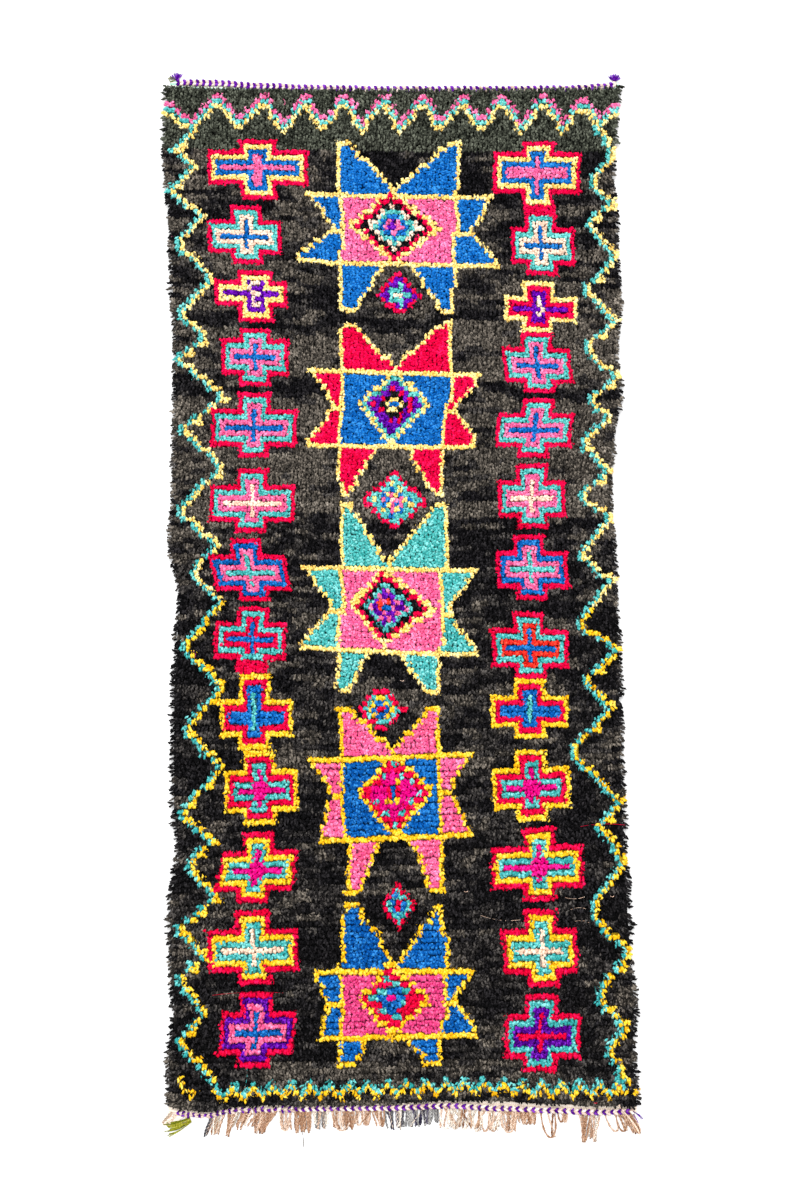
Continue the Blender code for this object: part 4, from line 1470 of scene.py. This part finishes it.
@dataclass
class WovenBand:
    """A narrow band of plain weave between two lines, each end and pick standing up from the cloth."""

    name: str
    left: float
    right: float
    upper: Edge
    lower: Edge
    ends: int
    picks: int
    colour: Colour
    stripe: Colour
    skew: float = 0.0
    taper: float = 1.0
    thickness: float = 0.0022
    crossing: float = 0.0005

    def build(self) -> None:
        """Weave the band."""
        cloth = Cloth(self.name, 2 * self.ends, 2 * self.picks, self.thickness)
        cloth.shape(self.place, self.relief)
        cloth.dye(self.colours)
        along = np.linspace(self.left, self.right, 200)
        width = (self.right - self.left) * 0.5 * (1.0 + self.taper)
        # The last value, 0.25, is the painted shade in the weave's hollows
        finish = ClothFinish(f"{self.name}_weave", 0.5, 0.5, 0.0004, 0.25)
        cloth.finish(finish, "warp_yarn", width, float(np.mean(self.upper(along) - self.lower(along))))

    def place(self, across: np.ndarray, down: np.ndarray) -> tuple[np.ndarray, np.ndarray]:
        """Find places between the band's two lines.

        Args:
            across: Share across.
            down: Share down.

        Returns:
            x and y in metres.
        """
        x = self.left + (self.right - self.left) * across
        y = self.upper(x) + (self.lower(x) - self.upper(x)) * down
        middle = 0.5 * (self.left + self.right)
        return middle + (x - middle) * (1.0 + (self.taper - 1.0) * down) + self.skew * down, y

    def relief(self, end: np.ndarray, pick: np.ndarray) -> np.ndarray:
        """Raise the crossings of the weave.

        Args:
            end: Count of the ends, two to a yarn.
            pick: Count of the picks, two to a yarn.

        Returns:
            What each place rises by: most where an end lies over, least under or between.
        """
        between = (end % 2 == 0) | (pick % 2 == 0)
        over = ((end // 2 + pick // 2) % 2) * 2.0 - 1.0
        return np.where(between, -0.5, over * 0.5) * self.crossing

    def colours(self, across: np.ndarray, down: np.ndarray, looks_up: np.ndarray) -> np.ndarray:
        """Colour the picks, every third one in the second yarn."""
        pick = (down * self.picks).astype(int)
        return np.where((pick % 3 == 1)[:, None], np.array(self.stripe), np.array(self.colour))


CREAM_WOOL, ECRU_WOOL = dye(232, 214, 196), dye(246, 236, 222)
MINT_WOOL, WHITE_WOOL = dye(168, 214, 196), dye(244, 240, 232)
SEAM = 0.0004
BANDS = (
    WovenBand("tail_band", -0.606, 0.614, TAIL_LINE.moved(-SEAM), BAND_LINE, 244, 8, CREAM_WOOL, ECRU_WOOL),
    WovenBand("head_band", -0.602, 0.568, HEAD_CORD_LINE.moved(-0.002), HEAD_LINE.moved(SEAM), 230, 6,
              MINT_WOOL, WHITE_WOOL),
    WovenBand("corner_tab", -0.608, -0.560, BAND_LINE.moved(-SEAM), TAB_LINE, 10, 10,
              CREAM_WOOL, ECRU_WOOL, -0.026, 0.5),
)


# Twined cords


@dataclass
class TwinedCord:
    """Two yarns twined about the warp ends in rows of slanting stitches, which meet in chevrons."""

    name: str
    node: str
    left: float
    right: float
    line: Edge
    stitches: int
    row_gap: float
    base: float
    lay: Lay
    # Length and width of the violet and of the white stitches against the modelled one
    sizes: tuple[Place, Place]
    uneven_until: float = -9.0
    crowding: float = 1.0
    slant: float = 34.0
    arch: float = 0.0012
    inset: float = 0.0032
    yarn_radius: float = 0.0026
    # Unevenness of place, of slant in degrees, of size and of shade
    jitter: Place = (0.0005, 0.0004)
    slant_spread: float = 5.0
    size_spread: float = 0.07
    tone_spread: float = 0.2
    # The uneven left end: how soon it comes to rest, and its unevenness of slant, place and size
    settling: float = 0.08
    rough_slant: float = 0.5
    rough_jitter: float = 0.0018
    rough_size: float = 0.12
    # A plump piece of yarn that thins where it dips under the next: rise and swell of its rings
    rings: tuple[Place, ...] = ((0.0016, 1.75), (0.0028, 1.22), (0.0030, 1.0), (0.0028, 0.82), (0.0016, 0.57))

    def build(self, chance: np.random.Generator) -> None:
        """Twine both rows, in a violet and a white piece.

        Args:
            chance: Source of the stitches' unevenness.
        """
        stitch = Workshop.tube(6, 0.0012, self.rings)
        length = float(stitch.points[:, 2].max())
        across, up, along = (stitch.points[None, :, axis] for axis in range(3))
        pieces = [Copies(f"{self.name}_{yarn}") for yarn in TWINE_FINISHES]
        for row in range(2):
            for which, (copies, (long_by, wide_by)) in enumerate(zip(pieces, self.sizes)):
                chosen = np.arange(which, self.stitches, 2)

                def spread(amount: float) -> np.ndarray:
                    """Draw a random amount for each stitch."""
                    return amount * chance.standard_normal(len(chosen))

                share = ((chosen + 0.5) / self.stitches) ** self.crowding
                x = self.left + share * (self.right - self.left)
                x = x + spread(self.jitter[0])
                y = self.line(x) - self.inset - row * self.row_gap + spread(self.jitter[1])
                lean = np.radians(self.slant + spread(self.slant_spread)) * (1.0 if row else -1.0)
                lean = lean * self.lay.value
                rough = np.clip((self.uneven_until - x) / self.settling, 0.0, 1.0)
                lean += rough * self.rough_slant * chance.standard_normal(len(chosen))
                y += rough * self.rough_jitter * chance.standard_normal(len(chosen))
                size = (1.0 + spread(self.size_spread)) * (1.0 - self.rough_size * rough)
                run = (along / length - 0.5) * (size * length * long_by)[:, None]
                rise = up + self.arch * (1.0 - (2.0 * along / length - 1.0) ** 2)
                height = self.base + self.yarn_radius + rise * np.ones_like(run)
                shape = (run, across * (size * wide_by)[:, None], height)
                tones = np.clip(0.5 + spread(self.tone_spread), 0.0, 1.0)
                copies.lay(stitch, (x, y), lean, shape, tones)
        for copies, finish in zip(pieces, TWINE_FINISHES.values()):
            copies.finish(finish, "twined_yarn", self.node)


CORDS = (
    TwinedCord("head_twine", "head_twining", -0.584, 0.560, HEAD_CORD_LINE, 138, 0.0074, 0.0002,
               Lay.RIGHT, ((1.04, 1.9), (1.16, 1.7))),
    TwinedCord("tail_twine", "tail_twining", -0.582, 0.606, BAND_LINE.moved(0.0115), 128, 0.0064, 0.0030,
               Lay.LEFT, ((1.0, 1.25), (1.3, 1.45)), -0.24, 1.12),
)


# Loose yarns: fringe, tufts and stray threads


class Spun:
    """Yarns spun of two plies, laid along smooth paths."""

    flatness: float = 0.72
    ply_radius: float = 0.00105
    ply_offset: float = 0.00090

    def __init__(self, name: str, sections: int = 14, turn: float = 62.0) -> None:
        """Model the two-ply yarn that all the copies come from.

        Args:
            name: Name of the piece.
            sections: Number of sections.
            turn: Twist of each section, in degrees.
        """
        self.copies = Copies(name)
        rings = ((1.0 / sections, 1.0),) * sections
        ply = Workshop.tube(4, self.ply_radius, rings, (self.ply_offset, 0.0), turn)
        left_half = np.array((0.5, 1.0))
        self.pattern = Pattern(
            np.concatenate((ply.points, ply.points * (-1.0, -1.0, 1.0))),
            np.concatenate((ply.corners, ply.corners + len(ply.points))),
            np.tile(ply.sizes, 2),
            np.tile(ply.strand_uv, (2, 1)),
            np.concatenate((ply.patch_uv * left_half, ply.patch_uv * left_half + (0.5, 0.0))),
        )

    def lay(self, controls: Sequence[Spot], size: float, tone: float) -> None:
        """Lay one yarn along a smooth path.

        Args:
            controls: Control points of the path, from root to tip.
            size: Thickness against that of the modelled yarn.
            tone: Shade, where 0 and less is dark and 1 and more is light.
        """
        shares = np.clip(self.pattern.points[:, 2], 0.0, 1.0)
        ahead = self.curve(controls, np.clip(shares + 0.01, 0.0, 1.0))
        behind = self.curve(controls, np.clip(shares - 0.01, 0.0, 1.0))
        run = (ahead - behind)[:, :2]
        run /= np.maximum(np.linalg.norm(run, axis=1), 1e-9)[:, None]
        side = np.stack((-run[:, 1], run[:, 0], np.zeros(len(run))), axis=1)
        points = self.curve(controls, shares) + size * self.pattern.points[:, :1] * side
        points[:, 2] += size * self.flatness * self.pattern.points[:, 1]
        self.copies.add(self.pattern, points[None], np.clip(np.array((tone,)), 0.0, 1.0))

    @staticmethod
    def curve(controls: Sequence[Spot], shares: np.ndarray) -> np.ndarray:
        """Find points of a smooth curve that its control points draw.

        Args:
            controls: Control points.
            shares: Places along it, from 0 to 1.

        Returns:
            The points.
        """
        degree = len(controls) - 1
        points = np.zeros((len(shares), 3))
        for number, control in enumerate(controls):
            weight = math.comb(degree, number) * shares ** number * (1.0 - shares) ** (degree - number)
            points += weight[:, None] * np.array(control)
        return points


@dataclass(frozen=True)
class Clump:
    """A clump of warp ends: where they leave the band, where they end, and their yarns."""

    left: float
    right: float
    tip_left: float
    tip_right: float
    tip_y: float
    yarns: str
    count: int
    uneven: float = 0.006
    loops: int = 0


CLUMPS = (
    Clump(-0.600, -0.584, -0.620, -0.600, -1.336, "ecru beige", 3),
    Clump(-0.497, -0.486, -0.512, -0.500, -1.370, "ink grey", 3),
    Clump(-0.488, -0.458, -0.506, -0.478, -1.364, "tan beige ecru", 7),
    Clump(-0.449, -0.436, -0.455, -0.447, -1.370, "tan beige tan", 4),
    Clump(-0.430, -0.400, -0.444, -0.420, -1.352, "ecru tan", 5, 0.008),
    Clump(-0.405, -0.366, -0.424, -0.386, -1.344, "beige tan", 7, 0.008),
    Clump(-0.368, -0.326, -0.378, -0.352, -1.362, "tan tan beige", 12, 0.010),
    Clump(-0.314, -0.286, -0.316, -0.288, -1.352, "beige", 5, 0.003, 1),
    Clump(-0.276, -0.236, -0.270, -0.240, -1.360, "tan tan beige", 13),
    Clump(-0.229, -0.188, -0.222, -0.196, -1.350, "ecru beige grey", 10),
    Clump(-0.180, -0.130, -0.172, -0.130, -1.352, "beige tan", 13, 0.008, 1),
    Clump(-0.122, -0.078, -0.118, -0.080, -1.338, "beige tan", 8, 0.006, 2),
    Clump(-0.072, -0.046, -0.062, -0.044, -1.346, "tan beige", 5),
    Clump(-0.040, -0.004, -0.034, -0.004, -1.352, "grey ink ecru", 9),
    Clump(0.002, 0.058, 0.002, 0.058, -1.344, "grey ecru grey ink", 14, 0.005),
    Clump(0.058, 0.094, 0.062, 0.092, -1.338, "ink grey", 7, 0.008),
    Clump(0.100, 0.180, 0.108, 0.176, -1.348, "beige ecru tan", 15, 0.007, 3),
    Clump(0.186, 0.256, 0.188, 0.250, -1.354, "beige tan ecru", 13, 0.007, 3),
    Clump(0.262, 0.302, 0.266, 0.296, -1.357, "tan beige", 9, 0.008, 1),
    Clump(0.308, 0.348, 0.312, 0.344, -1.338, "beige tan tan", 14, 0.006),
    Clump(0.364, 0.404, 0.380, 0.406, -1.370, "beige tan", 2, 0.002, 1),
    Clump(0.408, 0.434, 0.414, 0.432, -1.330, "beige tan", 3, 0.003, 2),
    Clump(0.464, 0.498, 0.472, 0.482, -1.386, "beige tan", 5, 0.004),
    Clump(0.490, 0.516, 0.490, 0.508, -1.384, "ecru beige", 5, 0.008),
    Clump(0.530, 0.588, 0.556, 0.590, -1.354, "beige tan", 3, 0.004, 2),
    Clump(0.566, 0.602, 0.604, 0.622, -1.362, "beige tan tan", 8, 0.006),
)


@dataclass
class WarpFringe:
    """The loose warp ends below the tail's cord, in clumps, some of them joined in loops."""

    chance: np.random.Generator
    radius: float = 0.0025
    clearance: float = 0.0001
    root_height: float = 0.0030
    tuck: float = 0.0035
    fullness: float = 1.45
    widening: float = 1.16

    def build(self) -> None:
        """Lay all the warp ends on the floor, in one piece for each yarn."""
        yarns = {name: Spun(f"fringe_{name}") for name in WARP_FINISHES}
        for clump in CLUMPS:
            count = round(self.fullness * clump.count)
            for number in range(count):
                names = clump.yarns.split()
                spun = yarns[names[int(self.chance.integers(len(names)))]]
                if number < clump.loops:
                    self.lay_loop(clump, number, spun)
                else:
                    self.lay_end(clump, (number + 0.5) / count, spun)
        for name, spun in yarns.items():
            spun.copies.finish(WARP_FINISHES[name], "warp_yarn", "warp_fringe")

    def lay_end(self, clump: Clump, share: float, spun: Spun) -> None:
        """Lay one warp end.

        Args:
            clump: Its clump.
            share: Its place in the clump, from left to right.
            spun: The piece that it becomes part of.
        """
        chance = self.chance
        root_x = 0.5 * (clump.left + clump.right) + self.widening * (share - 0.5) * (clump.right - clump.left)
        root_x += 0.0012 * chance.standard_normal()
        tip_share = min(max(share + 0.22 * chance.standard_normal(), 0.0), 1.0)
        tip_middle = 0.5 * (clump.tip_left + clump.tip_right)
        tip_x = tip_middle + self.widening * (tip_share - 0.5) * (clump.tip_right - clump.tip_left)
        root_y = float(BAND_LINE(root_x)) + self.tuck
        tip_y = clump.tip_y + abs(clump.uneven * chance.standard_normal())
        sway = 0.004 * chance.standard_normal(2)
        lowest = self.radius + self.clearance
        level = lowest + 0.0022 * chance.random()
        run, drop = tip_x - root_x, tip_y - root_y
        controls = (
            (root_x, root_y, self.root_height + 0.001 * chance.random()),
            (root_x + 0.2 * run + sway[0], root_y + 0.33 * drop, level),
            (root_x + 0.8 * run + sway[1], root_y + 0.68 * drop, level),
            (tip_x, tip_y, lowest + 0.0012 * chance.random()),
        )
        size = 1.35 + 0.55 * chance.random()
        spun.lay(controls, size, 0.5 + 0.34 * chance.standard_normal())

    def lay_loop(self, clump: Clump, number: int, spun: Spun) -> None:
        """Lay one warp end that turns back into the band.

        Args:
            clump: Its clump.
            number: Its number among the clump's loops.
            spun: The piece that it becomes part of.
        """
        chance = self.chance
        width = (clump.right - clump.left) / clump.loops
        left = clump.left + number * width
        middle = clump.tip_left + (number + 0.5) / clump.loops * (clump.tip_right - clump.tip_left)
        root_y = float(BAND_LINE(left)) + self.tuck
        far = root_y + (clump.tip_y - root_y) / 0.74
        level = self.radius + 0.0006 + 0.0020 * chance.random()
        controls = (
            (left, root_y, self.root_height),
            (middle - 0.62 * width, far, level),
            (middle + 0.62 * width, far, level),
            (left + width * 0.86, root_y, self.root_height),
        )
        size = 1.5 + 0.3 * chance.random()
        spun.lay(controls, size, 0.5 + 0.2 * chance.standard_normal())


@dataclass
class CornerTuft:
    """A knotted end of edging yarn at a corner, its strands fanned out."""

    name: str
    nodes: tuple[str, ...]
    slot: str
    finish: YarnFinish
    knot: Place
    heading: float
    fan: float
    length: float
    count: int
    thickness: float
    curl: float
    root_spread: float = 0.006
    height: float = 0.0022

    def build(self, chance: np.random.Generator) -> None:
        """Lay the strands of the tuft.

        Args:
            chance: Source of their unevenness.
        """
        spun = Spun(self.name, 8, 40.0)
        forward = math.radians(self.heading)
        across = Vector((-math.sin(forward), math.cos(forward)))
        for number in range(self.count):
            share = (number + 0.5) / self.count - 0.5
            turn = math.radians(self.heading + self.fan * share + 5.0 * chance.standard_normal())
            run = Vector((math.cos(turn), math.sin(turn)))
            side = Vector((-run.y, run.x))
            start = Vector(self.knot) + across * (share * self.root_spread)
            reach = self.length * (0.78 + 0.3 * chance.random())
            bend = self.curl + 0.003 * chance.standard_normal()
            level = self.height + 0.0022 * chance.random()
            middle = start + run * (0.55 * reach) + side * bend
            end = start + run * reach
            controls = ((*start, level + 0.0008), (*middle, level + 0.0010), (*end, level - 0.0004))
            size = self.thickness * (0.85 + 0.3 * chance.random())
            spun.lay(controls, size, 0.5 + 0.25 * chance.standard_normal())
        spun.copies.finish(self.finish, self.slot, *self.nodes)


TUFTS = (
    CornerTuft("head_left_tassel", ("head_left_tuft",), "violet_yarn", VIOLET_YARN, (-0.584, 1.3845), 100.0,
               120.0, 0.017, 16, 0.9, 0.002),
    CornerTuft("head_right_tassel", ("head_right_tuft",), "violet_yarn", VIOLET_YARN, (0.556, 1.3800), 88.0,
               110.0, 0.018, 16, 0.9, 0.002),
    CornerTuft("head_left_wisp", (), "green_yarn", OLIVE_YARN, (-0.588, 1.3850), 176.0,
               40.0, 0.018, 6, 0.6, 0.003),
    CornerTuft("tail_left_tassel", ("tail_left_tuft",), "green_yarn", GREEN_YARN, (-0.548, -1.3230), 203.0,
               16.0, 0.070, 18, 0.95, 0.010, 0.014),
    CornerTuft("tail_right_tassel", ("tail_right_tuft",), "violet_yarn", VIOLET_YARN, (0.602, -1.3030), 312.0,
               10.0, 0.034, 3, 0.8, 0.002),
)


@dataclass(frozen=True)
class StrayThread:
    """A loose thread on the pile or at its edge."""

    lot: Lot
    points: tuple[Place, ...]
    thickness: float
    height: float = 0.0215
    end_height: float = 0.0215


STRAY_THREADS = (
    StrayThread(Lot.PINK, ((-0.306, 1.330), (-0.297, 1.322), (-0.304, 1.314)), 0.4),
    StrayThread(Lot.TURQUOISE, ((-0.402, -1.176), (-0.396, -1.204), (-0.404, -1.232)), 0.45),
    StrayThread(Lot.SCARLET, ((-0.490, -0.998), (-0.400, -0.986), (-0.302, -0.992)), 0.25),
    StrayThread(Lot.SCARLET, ((0.466, -0.560), (0.520, -0.548), (0.582, -0.556)), 0.25),
    StrayThread(Lot.CREAM, ((0.426, -0.744), (0.452, -0.752), (0.478, -0.742)), 0.25),
    StrayThread(Lot.CREAM, ((0.206, -0.790), (0.258, -0.810), (0.310, -0.802)), 0.22),
    StrayThread(Lot.CREAM, ((0.440, -0.776), (0.462, -0.766), (0.482, -0.774)), 0.22),
    StrayThread(Lot.CREAM, ((0.452, -0.806), (0.474, -0.800), (0.492, -0.812)), 0.22),
    StrayThread(Lot.PINK, ((-0.600, 0.994), (-0.592, 0.976), (-0.598, 0.958)), 0.4, 0.016, 0.016),
    StrayThread(Lot.PINK, ((-0.540, -0.104), (-0.530, -0.112), (-0.536, -0.120)), 0.35),
    StrayThread(Lot.ASH, ((-0.262, -1.346), (-0.251, -1.372), (-0.2548, -1.397)), 0.55, 0.0022, 0.0014),
    StrayThread(Lot.CREAM, ((0.566, -1.282), (0.574, -1.300), (0.610, -1.330), (0.622, -1.364)), 1.3,
                0.0230, 0.0034),
    StrayThread(Lot.CREAM, ((-0.002, -0.180), (0.004, -0.184), (0.008, -0.180)), 0.4),
    StrayThread(Lot.CREAM, ((0.164, -0.728), (0.170, -0.732), (0.174, -0.727)), 0.4),
    StrayThread(Lot.CREAM, ((0.340, -0.744), (0.345, -0.748), (0.350, -0.744)), 0.4),
    StrayThread(Lot.CREAM, ((0.544, -0.740), (0.549, -0.745), (0.553, -0.740)), 0.4),
    StrayThread(Lot.SCARLET, ((0.562, -1.230), (0.566, -1.234), (0.570, -1.230)), 0.5),
    StrayThread(Lot.SCARLET, ((0.501, -1.277), (0.505, -1.280), (0.509, -1.277)), 0.5),
)


def lay_stray_threads(chance: np.random.Generator) -> None:
    """Lay the loose threads, in one piece for each dye lot.

    Args:
        chance: Source of their shades.
    """
    for lot in dict.fromkeys(thread.lot for thread in STRAY_THREADS):
        spun = Spun(f"stray_{lot.name.lower()}", 8, 30.0)
        for thread in STRAY_THREADS:
            if thread.lot is lot:
                rise = np.linspace(thread.height, thread.end_height, len(thread.points))
                controls = [(*place, float(level)) for place, level in zip(thread.points, rise)]
                spun.lay(controls, thread.thickness, 0.4 + 0.3 * chance.random())
        spun.copies.finish(PILE_FINISHES[lot], "pile_yarn")


# Light, floor and camera


@dataclass(frozen=True)
class Studio:
    """Pale floor, soft light from above the head end, and the camera straight above the rug."""

    floor_size: float = 24.0
    floor_gap: float = 0.0002
    floor_colour: Colour = (0.86, 0.86, 0.86, 1.0)
    camera_place: Spot = (-0.0026, 0.0286, 7.38)
    lens: float = 85.0
    sensor: float = 36.0
    key_strength: float = 2.7
    key_angle: float = 40.0
    key_turn: Place = (-24.0, -6.0)
    fill_strength: float = 1.15

    def build(self) -> None:
        """Set up the floor, the lights and the camera."""
        self.lay_floor()
        self.light_up()
        self.set_camera()

    def lay_floor(self) -> None:
        """Lay the floor just under the rug."""
        Workshop.clear_selection()
        bpy.ops.mesh.primitive_plane_add(size=self.floor_size, location=(0.0, 0.0, -self.floor_gap))
        floor = bpy.context.object
        floor.name = "studio_floor"
        material = bpy.data.materials.new("pale_floor")
        material.use_nodes = True
        shader = material.node_tree.nodes["Principled BSDF"]
        shader.inputs["Base Color"].default_value = self.floor_colour
        shader.inputs["Roughness"].default_value = 0.9
        floor.data.materials.append(material)

    def light_up(self) -> None:
        """Add the broad soft key light and the even light of the room."""
        sun = bpy.data.lights.new("softbox", "SUN")
        sun.energy = self.key_strength
        sun.angle = math.radians(self.key_angle)
        item = bpy.data.objects.new("softbox", sun)
        item.rotation_euler = (*map(math.radians, self.key_turn), 0.0)
        bpy.context.collection.objects.link(item)
        world = bpy.context.scene.world or bpy.data.worlds.new("studio")
        bpy.context.scene.world = world
        world.use_nodes = True
        background = world.node_tree.nodes["Background"]
        background.inputs["Color"].default_value = (1.0, 1.0, 1.0, 1.0)
        background.inputs["Strength"].default_value = self.fill_strength
        bpy.context.scene.view_settings.view_transform = "Standard"

    def set_camera(self) -> None:
        """Hang the camera over the rug, looking straight down with the head end up."""
        camera = bpy.data.cameras.new("photo_camera")
        camera.lens = self.lens
        camera.sensor_width = self.sensor
        item = bpy.data.objects.new("photo_camera", camera)
        item.location = self.camera_place
        bpy.context.collection.objects.link(item)
        bpy.context.scene.camera = item


def main() -> None:
    """Build the rug's pieces in order, then the studio."""
    logging.basicConfig(level=logging.INFO, format="%(message)s")
    log.info("frame has %d solids", len(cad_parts))
    chance = np.random.default_rng(SEED)
    layout = RugLayout()
    chart = Chart(layout.columns, layout.rows)
    Ground().weave(chart, chance)
    for motif in (CREST, LEFT_ZIGZAG, RIGHT_ZIGZAG, TailZigzag(), *STARS, *DIAMONDS, *CROSSES):
        motif.weave(chart)
    KnottedPile(layout, chart).build(chance)
    GroundWeave(layout, chart).build()
    for band in BANDS:
        band.build()
    for cord in CORDS:
        cord.build(chance)
    WarpFringe(chance).build()
    for tuft in TUFTS:
        tuft.build(chance)
    lay_stray_threads(chance)
    Studio().build()


if __name__ == "__main__":
    main()
